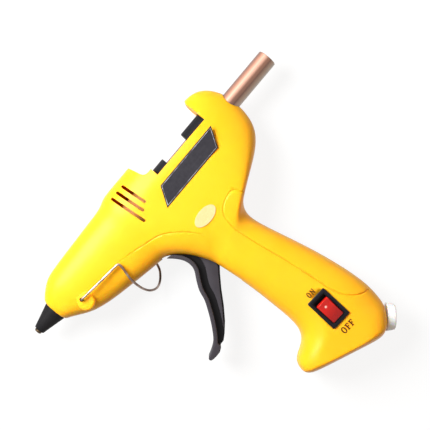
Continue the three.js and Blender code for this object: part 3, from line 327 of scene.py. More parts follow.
def clamp(shape, inset=0.0):
    """Levels the two broad sides softly, so that the gun lies flat."""
    top, soft = FLAT_SIDE - inset, SOFT_CLAMP - inset
    for vert in shape.data.vertices:
        z = vert.co.z * MM_PER_M - FLAT_SIDE
        over = abs(z) - soft
        if over > 0:
            z = math.copysign(soft + (top - soft) * math.tanh(over / (top - soft)), z)
            vert.co.z = (z + FLAT_SIDE) / MM_PER_M


def cut(shape, tool, operation="DIFFERENCE"):
    """Takes a tool from a shape, joins it or keeps what they share, and clears the tool away."""
    applied(shape, "BOOLEAN", operation=operation, solver="MANIFOLD", object=tool)
    bpy.data.objects.remove(tool)


def drawn(places, fill="NOTHING"):
    """A closed outline of places in the frame, selected in edit mode."""
    bpy.ops.mesh.primitive_circle_add(vertices=len(places), fill_type=fill)
    made = bpy.context.object
    for vert, place in zip(made.data.vertices, places):
        vert.co = place
    bpy.ops.object.mode_set(mode="EDIT")
    bpy.ops.mesh.select_all(action="SELECT")
    return made


def prism(places, sweep):
    """The solid between a flat outline and the same outline moved by a sweep."""
    made = drawn(places, "NGON")
    bpy.ops.mesh.extrude_region_move(TRANSFORM_OT_translate={"value": sweep})
    outward()
    return made


def plate(outline, low, high):
    """A flat piece with a given outline in x and y, from one height over the split to another."""
    return prism([gun(x, y, low) for x, y in outline], (0, 0, (high - low) / MM_PER_M))


def plate_on(side, outline, near, far):
    """A flat piece on the left side, 1, or the right, -1, from near the split to far from it."""
    return plate(outline, *sorted((side * near, side * far)))


def rectangle(low_corner, high_corner):
    (left, low), (rear, high) = low_corner, high_corner
    return [(left, low), (rear, low), (rear, high), (left, high)]


def rounded(piece, width, segments=2):
    """Rounds a piece's real edges."""
    return applied(piece, "BEVEL", width=width / MM_PER_M, segments=segments, angle_limit=REAL_EDGE)


def rod(start, end, radius, sides=48):
    """A round bar between two places on the gun."""
    a, b = gun(*start), gun(*end)
    facing = (b - a).to_track_quat("Z", "Y").to_euler()
    bpy.ops.mesh.primitive_cylinder_add(vertices=sides, radius=radius / MM_PER_M, depth=(b - a).length,
                                        location=(a + b) / 2, rotation=facing)
    bpy.ops.object.transform_apply(location=True, rotation=True, scale=True)
    return bpy.context.object


def post(place, low, high, radius, sides=48):
    """A round bar square to the split, from one height over it to another."""
    return rod((*place, low), (*place, high), radius, sides)


def curved(points, steps=5):
    """A smooth line through given points."""
    line = []
    for i in range(len(points) - 1):
        a, b = Vector(points[i]), Vector(points[i + 1])
        before = Vector(points[max(i - 1, 0)])
        after = Vector(points[min(i + 2, len(points) - 1)])
        for k in range(steps):
            t = k / steps
            line.append(0.5 * ((2 * a) + (b - before) * t + (2 * before - 5 * a + 4 * b - after) * t ** 2
                               + (3 * a - before - 3 * b + after) * t ** 3))
    return [tuple(place) for place in line] + [tuple(points[-1])]


def pick(*pieces):
    """Selects these pieces alone."""
    bpy.ops.object.select_all(action="DESELECT")
    for piece in pieces:
        piece.select_set(True)
    bpy.context.view_layer.objects.active = pieces[0]


def tube(points, radius, smoothness=3):
    """A round wire along a row of places."""
    path = bpy.data.curves.new("wire", "CURVE")
    path.dimensions = "3D"
    path.bevel_depth = radius / MM_PER_M
    path.bevel_resolution = smoothness
    path.use_fill_caps = True
    strand = path.splines.new("POLY")
    strand.points.add(len(points) - 1)
    for point, place in zip(strand.points, points):
        point.co = (*gun(*place), 1)
    made = bpy.data.objects.new("wire", path)
    scene.collection.objects.link(made)
    pick(made)
    bpy.ops.object.convert(target="MESH")
    bpy.ops.object.mode_set(mode="EDIT")
    bpy.ops.mesh.select_all(action="SELECT")
    bpy.ops.mesh.remove_doubles(threshold=SAME_PLACE)
    outward()
    return bpy.context.object


def slot(top, lean, length, width):
    """The outline of a slot with round ends."""
    down = Vector((math.sin(lean), -math.cos(lean)))
    across = Vector((-down.y, down.x))
    upper, lower = Vector(top) + down * width / 2, Vector(top) + down * (length - width / 2)
    outline = []
    for centre, way in ((upper, -1), (lower, 1)):
        for k in range(SLOT_STEPS + 1):
            turn = math.pi * k / SLOT_STEPS
            reach = way * (across * math.cos(turn) + down * math.sin(turn)) * width / 2
            outline.append(tuple(centre + reach))
    return outline


def merged(node):
    """A copy of a carried-over solid with its loose triangles joined."""
    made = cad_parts[node].copy()
    made.data = made.data.copy()
    scene.collection.objects.link(made)
    return applied(made, "WELD", merge_threshold=SAME_PLACE)


# The openings. OUTSIDE is well clear of the body.
OUTSIDE = 40
WHOLE_GUN = rectangle((-20, -170), (190, 40))
SADDLE = curved([(102.4, 26), (102.5, 21), (103.2, 18.6), (104.2, 14.6), (105, 11.4), (106.2, 9.6),
                 (108.2, 8.9), (110.8, 8.9)])
HOOK = curved([(150.5, 3.9), (150.5, 12), (150.55, 16.6), (151.1, 18.9), (152.5, 20.0), (154.6, 20.5),
               (157, 22)])
WINDOW = SADDLE + [(110.8, 3.9)] + HOOK + [(157, 26)]
TRIGGER_SLOT = [(76, -20), (76, -50), (89.9, -69), (100.3, -69), (105.7, -52), (100.6, -40), (96.9, -30),
                (92, -22)]
TRIGGER_SLOT_HALF = 5.3
PAST_SPLIT = -1
NOSE_SEAT_END = 22
NOSE_SEAT_RADIUS = 6.9
REAR_WALL = 159
PAST_REAR = 200
STICK_BORE_RADIUS = 6.1
# Each vent's front and length. The right half's start lower, so that nobody looks through.
VENTS = [(84.4, 22.9), (88.85, 18.8), (93.3, 16.5)]
VENT_TOPS = {1: 15.5, -1: 8.0}
VENT_LEAN = math.radians(6.5)
VENT_WIDTH = 1.7
VENT_FLOOR = 2.5
SLOT_STEPS = 12
STAND_HOLE = (31.5, -7.95)
STAND_HOLE_RADIUS = 1.2
STAND_HOLE_FLOOR = 7.3
STAND_BOSS = (32.2, -10.6)
STAND_BOSS_RADIUS = 5
STAND_BOSS_FOOT = 9
STAND_BOSS_FACE = 13.4
STAND_BOSS_ROUNDING = 1.7
SWITCH_PLACE = Vector((114.8, -114.0))
SWITCH_TILT = math.radians(-3)
SWITCH_OPENING = (11.2, 18.4)
SWITCH_OPENING_FLOOR = 8.75
SWITCH_RECESS = (12.8, 20.0)
SWITCH_RECESS_FLOOR = 16.7
BEZEL_CORNER = 0.7
CORNER_STEPS = 4
GLAND = Vector((131.8, -143.8))
GLAND_TURN = math.radians(-50)
GLAND_AXIS = Vector((math.cos(GLAND_TURN), math.sin(GLAND_TURN)))
# Each stretch of the gland's seat: from and to along its axis, and its radius.
GLAND_SEAT = [(0, 60, 8.3), (-15, 60, 5.3), (-5.9, -2.5, 7.3)]
SCREWS = [(72.1, -19.4), (157.1, 14.9), (160.0, -17.0), (106.9, -32.0), (113.1, -74.0), (89.9, -125.6),
          (130.6, -108.0)]
SCREW_WELL_RADIUS = 3.1
SCREW_WELL_FLOOR = 6.5


def turned_slab(width, length, low, high, corner=0.05):
    """A block over the switch's place, square to the switch, with rounded corners."""
    outline = []
    turn = Matrix.Rotation(SWITCH_TILT, 2)
    for k, (side, end) in enumerate(((1, 1), (-1, 1), (-1, -1), (1, -1))):
        for step in range(CORNER_STEPS + 1):
            angle = math.pi / 2 * (k + step / CORNER_STEPS)
            place = Vector((side * (width / 2 - corner) + corner * math.cos(angle),
                            end * (length / 2 - corner) + corner * math.sin(angle)))
            outline.append(tuple(SWITCH_PLACE + turn @ place))
    return plate(outline, low, high)


def along_gland(start, end, radius):
    """A round bar on the cord gland's axis."""
    a, b = GLAND + GLAND_AXIS * start, GLAND + GLAND_AXIS * end
    return rod((a.x, a.y), (b.x, b.y), radius)


skin = body("skin", 0, RINGS, 2)
clamp(skin)
# The broad sides carry two scored lines: the edge of the grip pad, and the crease over the trigger, which
# runs out at both ends. Each is cut by a thin wire laid on the skin.
PAD = curved([(136.5, -42), (133.4, -37.5), (131.1, -33.2), (126.8, -32.3), (121.9, -33.8), (118, -36.7),
              (116, -41), (115.5, -48.8), (117, -60.5), (118.9, -72), (120.8, -84.6), (122.8, -99.2),
              (123.8, -108.9), (126.7, -116.7), (131.6, -122.5), (137.4, -125.4), (146, -127)])
CREASE = curved([(57, -9.7), (66, -11.8), (76.1, -14.8), (85.9, -18.2), (92.6, -23.5), (97.5, -29.3),
                 (100.4, -34.2), (102, -39)])
SCORE_RADIUS = 0.3
PAD_ABOVE = 0.05
CREASE_ABOVE = 0.15
CREASE_LIFT = 0.2
RUN_OUT = 8
scores = []
bpy.context.view_layer.update()
for line, above, lift in ((PAD, PAD_ABOVE, 0), (CREASE, CREASE_ABOVE, CREASE_LIFT)):
    score = []
    for k, (x, y) in enumerate(line):
        hit, spot, _, _ = skin.ray_cast(gun(x, y, OUTSIDE), Vector((0, 0, -1)))
        if hit:
            depth = min(1, k / RUN_OUT, (len(line) - 1 - k) / RUN_OUT)
            score.append((x, y, spot.z * MM_PER_M - FLAT_SIDE + above + lift * (1 - depth)))
    scores.append(score)

hollow = body("hollow", SKIN, HOLLOW_RINGS, 1)
clamp(hollow, SKIN)
cut(skin, hollow)
shells = []
for side, name in ((1, "left_shell"), (-1, "right_shell")):
    half = skin.copy()
    half.data = skin.data.copy()
    scene.collection.objects.link(half)
    half.name = name + "_skin"
    cut(half, plate_on(side, WHOLE_GUN, SEAM, OUTSIDE), "INTERSECT")
    works = merged(name)
    inside = body("inside", CORE_DEPTH, RINGS, 1)
    clamp(inside, CORE_DEPTH)
    cut(works, inside, "INTERSECT")
    cut(half, works, "UNION")
    boss = post(STAND_BOSS, side * STAND_BOSS_FOOT, side * STAND_BOSS_FACE, STAND_BOSS_RADIUS)
    cut(half, rounded(boss, STAND_BOSS_ROUNDING, segments=5), "UNION")
    cut(half, rod((0, 0), (NOSE_SEAT_END, 0), NOSE_SEAT_RADIUS))
    cut(half, rod((REAR_WALL, 0), (PAST_REAR, 0), STICK_BORE_RADIUS))
    cut(half, plate_on(side, WINDOW, PAST_SPLIT, OUTSIDE))
    cut(half, plate_on(side, TRIGGER_SLOT, PAST_SPLIT, TRIGGER_SLOT_HALF))
    for front, length in VENTS:
        vent = slot((front, VENT_TOPS[side]), VENT_LEAN, length, VENT_WIDTH)
        cut(half, plate_on(side, vent, VENT_FLOOR, OUTSIDE))
    cut(half, post(STAND_HOLE, side * STAND_HOLE_FLOOR, side * OUTSIDE, STAND_HOLE_RADIUS, sides=24))
    for start, end, radius in GLAND_SEAT:
        cut(half, along_gland(start, end, radius))
    if side > 0:
        cut(half, turned_slab(*SWITCH_OPENING, SWITCH_OPENING_FLOOR, OUTSIDE))
        cut(half, turned_slab(*SWITCH_RECESS, SWITCH_RECESS_FLOOR, OUTSIDE, BEZEL_CORNER))
    else:
        for place in SCREWS:
            cut(half, post(place, -OUTSIDE, -SCREW_WELL_FLOOR, SCREW_WELL_RADIUS, sides=32))
    for score in scores:
        cut(half, tube([(x, y, side * z) for x, y, z in score], SCORE_RADIUS, 2))
    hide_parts(name)
    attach(half, "housing")
    shells.append(half)
bpy.data.objects.remove(skin)


def measured(x, y, line):
    """How far a place lies to one side of a line, and how far along it."""
    nearest = (1e9, 0.0, 0.0)
    for k in range(len(line) - 1):
        ax, ay = line[k]
        bx, by = line[k + 1]
        dx, dy = bx - ax, by - ay
        t = min(1, max(0, ((x - ax) * dx + (y - ay) * dy) / (dx * dx + dy * dy)))
        gx, gy = x - ax - t * dx, y - ay - t * dy
        gap = math.hypot(gx, gy)
        if gap < nearest[0]:
            nearest = (gap, math.copysign(gap, dx * gy - dy * gx), (k + t) / (len(line) - 1))
    return nearest[1:]


for half in shells:
    values = {"pad": [], "crease": [], "reach": []}
    for vert in half.data.vertices:
        x = vert.co.x * MM_PER_M + ORIGIN_BEHIND_TIP
        y = vert.co.y * MM_PER_M - ORIGIN_BELOW_AXIS
        values["pad"].append(measured(x, y, PAD)[0])
        off, along = measured(x, y, CREASE)
        values["crease"].append(off)
        values["reach"].append(along)
    for name, numbers in values.items():
        half.data.attributes.new(name, "FLOAT", "POINT").data.foreach_set("value", numbers)


def dress(piece, made, degrees=35):
    """Gives a piece its material and smooth faces between its real edges."""
    piece.data.materials.clear()
    piece.data.materials.append(made)
    pick(piece)
    bpy.ops.object.shade_smooth_by_angle(angle=math.radians(degrees))
    bpy.ops.object.select_all(action="DESELECT")


# A deeper orange is painted into the scored lines as painted shade, and the surface steps at each of them.
PAD_PAINTED_SHADE = 0.2
CREASE_PAINTED_SHADE = 0.1
yellow, paint = material("yellow_plastic")
grain = paint.place().noise(2400)
cloud = paint.place().noise(60)
pad, crease, reach = (paint.node("ShaderNodeAttribute", {"attribute_name": name}, {}, "Fac")
                      for name in ("pad", "crease", "reach"))
fade = reach.step(0, 0.12) * (1 - reach.step(0.8, 1))
groove_painted_shade = (1 - abs(pad).step(0.1, 0.75)) * PAD_PAINTED_SHADE
fold_painted_shade = (1 - abs(crease).step(0.1, 0.6)) * fade * CREASE_PAINTED_SHADE
tint = cloud.mix((0.98, 0.43, 0.011, 1), (1.0, 0.475, 0.018, 1))
# The painted shade mixes a deeper orange into the plastic's tint along both scored lines.
tint_and_painted_shade = groove_painted_shade.math("MAXIMUM", groove_painted_shade, fold_painted_shade).mix(tint, (0.82, 0.3, 0.005, 1))
ledge = pad.step(-0.5, 0.5) + crease.step(-0.7, 0.7) * fade
relief = ledge.bump(0.00012, Normal=paint.soft_edges(0.0003))
paint.surface({"Base Color": tint_and_painted_shade, "Roughness": grain * 0.1 + 0.33,
               "Normal": grain.bump(0.000012, Normal=relief), "Specular IOR Level": 0.14,
               "Subsurface Weight": 0.4, "Subsurface Radius": (1, 0.3, 0.04), "Subsurface Scale": 0.006})
for half in shells:
    dress(half, yellow)

# Nozzle and boot
# A turned brass nozzle with a flange behind it, under a matt black rubber cone that leaves only the tip
# bare. The nose of the body holds the cone by its flange. A profile's points are along and out.
NOZZLE_PROFILE = [(0, 0.9), (0, 1.6), (0.5, 2.1), (1.6, 2.1), (15.6, 4.2), (24.3, 4.2), (24.3, 5.6),
                  (26.3, 5.6), (26.3, 4.0), (32.1, 4.0), (32.1, 2.6), (9.6, 2.6), (7, 0.9)]
BOOT_PROFILE = [(1.6, 2.4), (1.6, 3.0), (8.6, 4.75), (15.4, 6.5), (16.2, 6.6), (22, 6.6), (22, 7.6),
                (24, 7.6), (24, 4.5), (15.6, 4.5)]
LATHE_SIDES = 96


def spun(outline, centre, axis, sides):
    """A round piece, spun from an outline about an axis."""
    made = drawn(outline)
    bpy.ops.mesh.spin(steps=sides, angle=2 * math.pi, center=centre, axis=axis)
    bpy.ops.mesh.select_all(action="SELECT")
    bpy.ops.mesh.remove_doubles(threshold=SAME_PLACE)
    bpy.ops.mesh.delete_loose()
    outward()
    return made


def lathe(profile, rounding, origin=(0, 0), heading=(1, 0)):
    """A round piece with its profile along and out from an axis in the split plane."""
    outline = [gun(origin[0] + heading[0] * along - heading[1] * out,
                   origin[1] + heading[1] * along + heading[0] * out) for along, out in profile]
    return rounded(spun(outline, gun(*origin), (*heading, 0), LATHE_SIDES), rounding)


def fit(piece, name, nodes, body_name, made, degrees=35):
    """Names and dresses a finished piece, and sets it on its body in place of its plain solids."""
    piece.name = name
    dress(piece, made, degrees)
    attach(piece, body_name)
    if nodes:
        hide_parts(*nodes)


def moulded(name, dark, light, rough, relief=0.012, edge=0.25, scale=1800, gloss=0.5, **sockets):
    """A moulded or painted surface: a fine grain, faint clouds of tone and softened edges."""
    made, wire = material(name)
    place = wire.place()
    grain = place.noise(scale)
    cloud = place.noise(scale / 25, 3)
    tone = (cloud * 0.6 + grain * 0.4).step(0.3, 0.7)
    soft = wire.soft_edges(edge / MM_PER_M)
    wire.surface({"Base Color": tone.mix((*dark, 1), (*light, 1)), "Specular IOR Level": gloss,
                  "Roughness": grain * 0.16 + (rough - 0.08),
                  "Normal": grain.bump(relief / MM_PER_M, Normal=soft), **sockets})
    return made


def metal(name, dark, light, rough, streak=(1, 1, 1)):
    """A bare metal with drawing or turning marks and a little tarnish."""
    made, wire = material(name)
    place = wire.place()
    drawn = wire.node("ShaderNodeMapping", {}, {"Vector": place, "Scale": streak})
    marks = drawn.noise(2500)
    stain = place.noise(260, 4)
    wire.surface({"Base Color": stain.step(0.35, 0.7).mix((*dark, 1), (*light, 1)), "Metallic": 1.0,
                  "Roughness": marks * 0.16 + stain * 0.12 + (rough - 0.14),
                  "Normal": marks.bump(0.00001, Normal=wire.soft_edges(0.0002))})
    return made


brass = metal("turned_brass", (0.3, 0.19, 0.08), (0.62, 0.43, 0.2), rough=0.38, streak=(4, 1, 1))
heated_brass = metal("heated_brass", (0.03, 0.022, 0.014), (0.11, 0.075, 0.045), rough=0.5,
                     streak=(4, 1, 1))
boot_rubber = moulded("boot_rubber", (0.004, 0.004, 0.005), (0.010, 0.0095, 0.0105), rough=0.6,
                      relief=0.02, gloss=0.12)
fit(lathe(NOZZLE_PROFILE, 0.15), "nozzle_turned", ["nozzle"], "housing", heated_brass)
fit(lathe(BOOT_PROFILE, 0.2), "nozzle_cone", ["nozzle_boot"], "housing", boot_rubber)

# Melt chamber and sleeve
# A cast aluminium chamber with a ceramic heater clamped into the tunnel under it. A silicone sleeve on
# its neck lets the stick in and is held by a steel clip.
SLEEVE_PROFILE = [(73, 7.3), (73, 8.6), (74, 8.6), (74.6, 9.0), (76, 8.6), (99.5, 8.6), (100.4, 8.1),
                  (100.4, 6.1), (78.6, 6.1), (78.6, 7.3)]


def softened(node, rounding):
    """A carried-over solid with its edges rounded."""
    made = applied(merged(node), "DECIMATE", decimate_type="DISSOLVE", angle_limit=math.radians(1))
    return rounded(made, rounding)


aluminium = metal("cast_aluminium", (0.42, 0.42, 0.43), (0.72, 0.72, 0.73), rough=0.45)
ceramic = moulded("heater_ceramic", (0.7, 0.66, 0.58), (0.86, 0.83, 0.77), rough=0.75, relief=0.03)
sheet_steel = metal("sheet_steel", (0.4, 0.39, 0.37), (0.68, 0.67, 0.65), rough=0.3, streak=(1, 6, 1))
silicone = moulded("silicone_sleeve", (0.85, 0.33, 0.1), (0.95, 0.45, 0.16), rough=0.5, relief=0.008,
                   **{"Subsurface Weight": 0.2})
fit(softened("melt_chamber", 0.3), "melt_chamber_cast", ["melt_chamber"], "housing", aluminium)
fit(lathe(SLEEVE_PROFILE, 0.2), "sleeve_moulded", ["entry_sleeve"], "housing", silicone)

# Stick and feed
# The glue stick runs from the heater out of the body's rear. A black carriage on it carries the grip
# lever, which bites the stick when the link pulls, and a black collar guides it in front of the window.
COLLAR_PROFILE = [(100.7, 6.1), (100.7, 7.6), (110.8, 7.6), (110.8, 8.5), (111.2, 8.7), (118.7, 8.7),
                  (119.1, 8.4), (119.1, 6.1)]
CARRIAGE_PROFILE = [(136.0, 6.1), (136.0, 9.2), (136.4, 9.6), (160.6, 9.6), (160.99, 9.2), (160.99, 6.1)]
CARRIAGE_BORE = ((130, 0), (170, 0))
FLUTES = 60
FLUTE_RADIUS = 0.24
FLUTE_CIRCLE = 9.75
FLUTES_FROM = 137.4
FLUTES_TO = 149.4
LEVER_PIVOT = (149.93, -9.6)
LEVER_HOLE_RADIUS = 1.5
LUG_LENGTH = 11
LUG_HALF = 6
LUG_BELOW = 3.6
LUG_TOP = -7.5
SLIT_AHEAD = 2
SLIT_BELOW = 5
SLIT_LENGTH = 13.3
SLIT_HALF = 2.8
PAST_LUG = 20
satin_black = moulded("satin_black_plastic", (0.004, 0.004, 0.006), (0.009, 0.009, 0.013), rough=0.5,
                      relief=0.014, gloss=0.12)
nylon = moulded("white_nylon", (0.68, 0.66, 0.62), (0.82, 0.8, 0.76), rough=0.45, relief=0.008,
                **{"Subsurface Weight": 0.15})
fit(lathe(COLLAR_PROFILE, 0.2), "guide_collar_moulded", ["guide_collar"], "housing",
    satin_black)
carriage = lathe(CARRIAGE_PROFILE, 0.25)
for k in range(FLUTES):
    turn = 2 * math.pi * k / FLUTES
    y, z = math.cos(turn) * FLUTE_CIRCLE, math.sin(turn) * FLUTE_CIRCLE
    cut(carriage, rod((FLUTES_FROM, y, z), (FLUTES_TO, y, z), FLUTE_RADIUS, sides=6))
lug_front, lug_low = LEVER_PIVOT[0] - LUG_LENGTH / 2, LEVER_PIVOT[1] - LUG_BELOW
lug = plate(rectangle((lug_front, lug_low), (lug_front + LUG_LENGTH, LUG_TOP)), -LUG_HALF, LUG_HALF)
cut(carriage, rounded(lug, 0.5, segments=3), "UNION")
slit_front, slit_low = lug_front - SLIT_AHEAD, lug_low - SLIT_BELOW
slit = rectangle((slit_front, slit_low), (slit_front + SLIT_LENGTH, 0))
cut(carriage, plate(slit, -SLIT_HALF, SLIT_HALF))
cut(carriage, rod(*CARRIAGE_BORE, STICK_BORE_RADIUS, LATHE_SIDES))
cut(carriage, post(LEVER_PIVOT, -PAST_LUG, PAST_LUG, LEVER_HOLE_RADIUS, sides=32))
fit(carriage, "feed_carriage_moulded", ["feed_carriage"], "feed_carriage", satin_black)
fit(softened("drive_link", 0.35), "drive_link_moulded", ["drive_link"], "drive_link",
    nylon)
fit(softened("grip_lever", 0.2), "grip_lever_pressed", ["grip_lever"], "grip_lever", sheet_steel)

# Painted light: bands of painted shade, a broad peach painted highlight and a pale painted reflection at the
# lower edge run along the stick. They are set by the height across it as seen from above, a little wavy.
STICK_RADIUS = 5.6
PAINTED_LIGHT_BANDS = [(0, (0.42, 0.36, 0.3, 1)), (0.13, (0.36, 0.25, 0.19, 1)), (0.28, (0.09, 0.045, 0.035, 1)),
         (0.44, (0.2, 0.1, 0.07, 1)), (0.64, (0.85, 0.5, 0.38, 1)), (0.82, (0.42, 0.2, 0.14, 1)),
         (1, (0.1, 0.045, 0.035, 1))]
glue_painted_light, glue = material("glue_painted_light_bands")
place = glue.place()
flow = glue.node("ShaderNodeMapping", {}, {"Vector": place, "Scale": (0.05, 1, 1)}).noise(260)
fleck = place.noise(5200, 1)
low_edge = (ORIGIN_BELOW_AXIS - STICK_RADIUS) / MM_PER_M
across = (place.part("Y") - low_edge) / (2 * STICK_RADIUS / MM_PER_M)
wavy = across + (flow - 0.5) * 0.16 + (fleck - 0.5) * 0.05
glue.surface({"Base Color": glue.node("ShaderNodeValToRGB", {"stops": PAINTED_LIGHT_BANDS}, {"Fac": wavy}),
              "Metallic": 0.4, "Roughness": fleck * 0.12 + 0.3, "Normal": flow.bump(0.00006),
              "Coat Weight": 0.35, "Coat Roughness": 0.25, "Specular IOR Level": 0.3})
stick_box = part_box("glue_stick")
stick_from, stick_to = (corner[0] * MM_PER_M + ORIGIN_BEHIND_TIP for corner in stick_box)
STICK_PROFILE = [(stick_from, 0), (stick_from, 5.1), (stick_from + 0.5, STICK_RADIUS),
                 (stick_to - 0.6, STICK_RADIUS), (stick_to - 0.25, 5.4), (stick_to, 4.9), (stick_to, 0)]
fit(lathe(STICK_PROFILE, 0.12), "glue_stick_cast", ["glue_stick"], "glue_stick", glue_painted_light)

# Trigger
# One black moulding: a wide curved finger plate on a narrower web, hung on a pin in the body. Behind the
# plate a channel runs down each side of the web, and the web's rear is a raised pad.
FINGER = [(78.3, -29.0), (81.5, -33.1), (83.7, -37.4), (84.2, -41.7), (83.0, -45.3), (79.6, -49.6),
          (76.4, -54.4), (74.3, -59.8), (71.0, -65.1), (67.2, -70.4), (63.1, -75.3), (59.3, -78.8),
          (55.2, -80.9), (51.2, -82.2)]
FINGER_TIP = [(50.5, -83.2), (51.0, -84.3), (52.6, -84.8), (55, -85.0), (57.8, -84.9), (60.3, -83.7)]
FINGER_HALF = 8
FINGER_THICK = 2.4
WEB_REAR = [(60.5, -82.8), (63.6, -82.7), (67.0, -80.6), (72.6, -76.2), (78.3, -70.6), (84.7, -63.4),
            (90.9, -57.2), (94.0, -54.4), (94.9, -52.0), (95.0, -46.0), (95.4, -38.0), (95.4, -33.0),
            (87.0, -29.3), (81.2, -27.2)]
WEB_HALF = 3.2
WEB_BEHIND = 0.8
RAISED_HALF = 4.5
RAISED_BEHIND = 6.3
RAISED_INSET = 0.9
TRIGGER_PIVOT = (90.95, -33.15)
PIVOT_BOSS_RADIUS = 4.4
PIVOT_HOLE_RADIUS = 1.8
LINK_PIN = (95.316, -12.61)
LINK_HOLE_RADIUS = 1.5
ARM_RADIUS = 3.0
ARM_HALF = 2.4
PAST_TRIGGER = 9
DIMPLE = (74.6, -69.4)
DIMPLE_RADIUS = 0.9
DIMPLE_FLOOR = 4.1


def beside(line, gap):
    """A line moved sideways by a gap, to the left of its own direction."""
    moved = []
    for i, spot in enumerate(line):
        along = (Vector(line[min(i + 1, len(line) - 1)]) - Vector(line[max(i - 1, 0)])).normalized()
        moved.append((spot[0] - along.y * gap, spot[1] + along.x * gap))
    return moved


front = curved(FINGER, 3)
finger = plate(front + FINGER_TIP + beside(front, FINGER_THICK)[2:-6][::-1], -FINGER_HALF, FINGER_HALF)
trigger = rounded(finger, 0.7, segments=3)
cut(trigger, plate(beside(front, WEB_BEHIND)[3:-6] + WEB_REAR, -WEB_HALF, WEB_HALF), "UNION")
raised = beside(front, RAISED_BEHIND)[4:-9] + beside(WEB_REAR, RAISED_INSET)[3:-1]
cut(trigger, rounded(plate(raised, -RAISED_HALF, RAISED_HALF), 0.5, segments=3), "UNION")
cut(trigger, post(TRIGGER_PIVOT, -RAISED_HALF, RAISED_HALF, PIVOT_BOSS_RADIUS), "UNION")
(pivot_x, pivot_y), (pin_x, pin_y) = TRIGGER_PIVOT, LINK_PIN
edge = Vector((pin_y - pivot_y, pivot_x - pin_x)).normalized() * ARM_RADIUS
arm = [(pivot_x - edge.x, pivot_y - edge.y), (pivot_x + edge.x, pivot_y + edge.y),
       (pin_x + edge.x, pin_y + edge.y), (pin_x - edge.x, pin_y - edge.y)]
cut(trigger, plate(arm, -ARM_HALF, ARM_HALF), "UNION")
cut(trigger, post(LINK_PIN, -ARM_HALF, ARM_HALF, ARM_RADIUS), "UNION")
cut(trigger, post(LINK_PIN, -PAST_TRIGGER, PAST_TRIGGER, LINK_HOLE_RADIUS, sides=32))
cut(trigger, post(TRIGGER_PIVOT, -PAST_TRIGGER, PAST_TRIGGER, PIVOT_HOLE_RADIUS, sides=32))
for side in (-1, 1):
    cut(trigger, post(DIMPLE, side * DIMPLE_FLOOR, side * PAST_TRIGGER, DIMPLE_RADIUS, sides=24))
# The plate's sides and the raised pad are painted greyer than the channel between them: the grey is wear, and
# the channel's deeper black is painted shade.
trigger_plastic, black = material("trigger_plastic")
place = black.place()
grain = place.noise(1800)
from_split = abs(place.part("Z") - FLAT_SIDE / MM_PER_M)
wear_and_channel_shade = (from_split + place.noise(150, 3) * 0.0008).step(0.0038, 0.0050)
black.surface({"Base Color": wear_and_channel_shade.mix((0.003, 0.0025, 0.0035, 1), (0.036, 0.033, 0.041, 1)),
               "Roughness": grain * 0.16 + 0.36, "Specular IOR Level": 0.15,
               "Normal": grain.bump(0.000012, Normal=black.soft_edges(0.0003))})
fit(trigger, "trigger_moulded", ["trigger"], "trigger", trigger_plastic)

# Wire stand
# One length of bent steel wire. Its two ends turn into the holes behind the nose and its foot folds under
# the barrel.
STAND_WIRE_RADIUS = 0.7
STAND = [(31.5, -7.95, 9.5), (31.5, -7.95, 13.8), (31.7, -7.97, 15.1), (33.1, -8.1, 15.6), (45, -9.3, 15.6),
         (56.9, -10.4, 15.6), (59.0, -10.75, 15.55), (59.8, -12, 15.4), (59.2, -15, 14.5),
         (57.5, -20.7, 12), (56.9, -25.2, 9), (57.0, -29.5, 5), (58.0, -32.8, 1), (59.7, -34.7, -3),
         (61.9, -35.4, -7), (64.6, -34.5, -11), (67.6, -32.2, -13.5), (70.2, -28.8, -15),
         (72.1, -22.5, -15.75), (72.4, -15.7, -16.15), (70.6, -12.3, -16.15), (66, -11.2, -15.9),
         (45, -9.3, -15.6), (33.1, -8.1, -15.6), (31.7, -7.97, -15.1), (31.5, -7.95, -13.8),
         (31.5, -7.95, -9.5)]
wire_steel = metal("stand_wire_steel", (0.2, 0.14, 0.115), (0.5, 0.39, 0.34), rough=0.34)
fit(tube(curved(STAND, 4), STAND_WIRE_RADIUS), "stand_bent_wire", ["wire_stand"], "wire_stand",
    wire_steel, 60)

# Switch
# A black bezel let into the grip, with a red translucent rocker in its pocket and ON and OFF printed on
# the handle at its ends. The rocker stands with its OFF end pressed in.
BEZEL = (12.6, 19.8)
BEZEL_FOOT = 17.0
BEZEL_FACE = 18.6
CASE = (10.6, 17.8)
CASE_FOOT = 4
CASE_TOP = 17.6
POCKET = (8.5, 15.2)
POCKET_FLOOR = 9.6
POCKET_LIP = (9.5, 16.2)
LIP_FLOOR = 18.1
ROCKER_TILT = math.radians(12)
ROCKER_AXIS = 15.6
ROCKER_HALF = 3.9
ROCKER_REACH = 6.5
ROCKER_FLARE = 0.02
ROCKER_TOP = [(6.5, 5.2), (3.4, 4.25), (0, 4.0), (-3.4, 4.25), (-6.5, 5.2)]
BELLY_RADIUS = 5.3
BELLY_STEPS = 12
PAINTED_GLINT = (114.5, -112)
bezel = rounded(turned_slab(*BEZEL, BEZEL_FOOT, BEZEL_FACE, BEZEL_CORNER), 0.35, segments=3)
cut(bezel, turned_slab(*CASE, CASE_FOOT, CASE_TOP, 0.4), "UNION")
cut(bezel, turned_slab(*POCKET, POCKET_FLOOR, OUTSIDE, 0.6))
cut(bezel, turned_slab(*POCKET_LIP, LIP_FLOOR, OUTSIDE, 0.8))
bezel_black = moulded("bezel_black", (0.004, 0.004, 0.006), (0.008, 0.009, 0.013), rough=0.3,
                      relief=0.006, gloss=0.15)
fit(bezel, "switch_bezel", ["switch_body"], "housing", bezel_black)

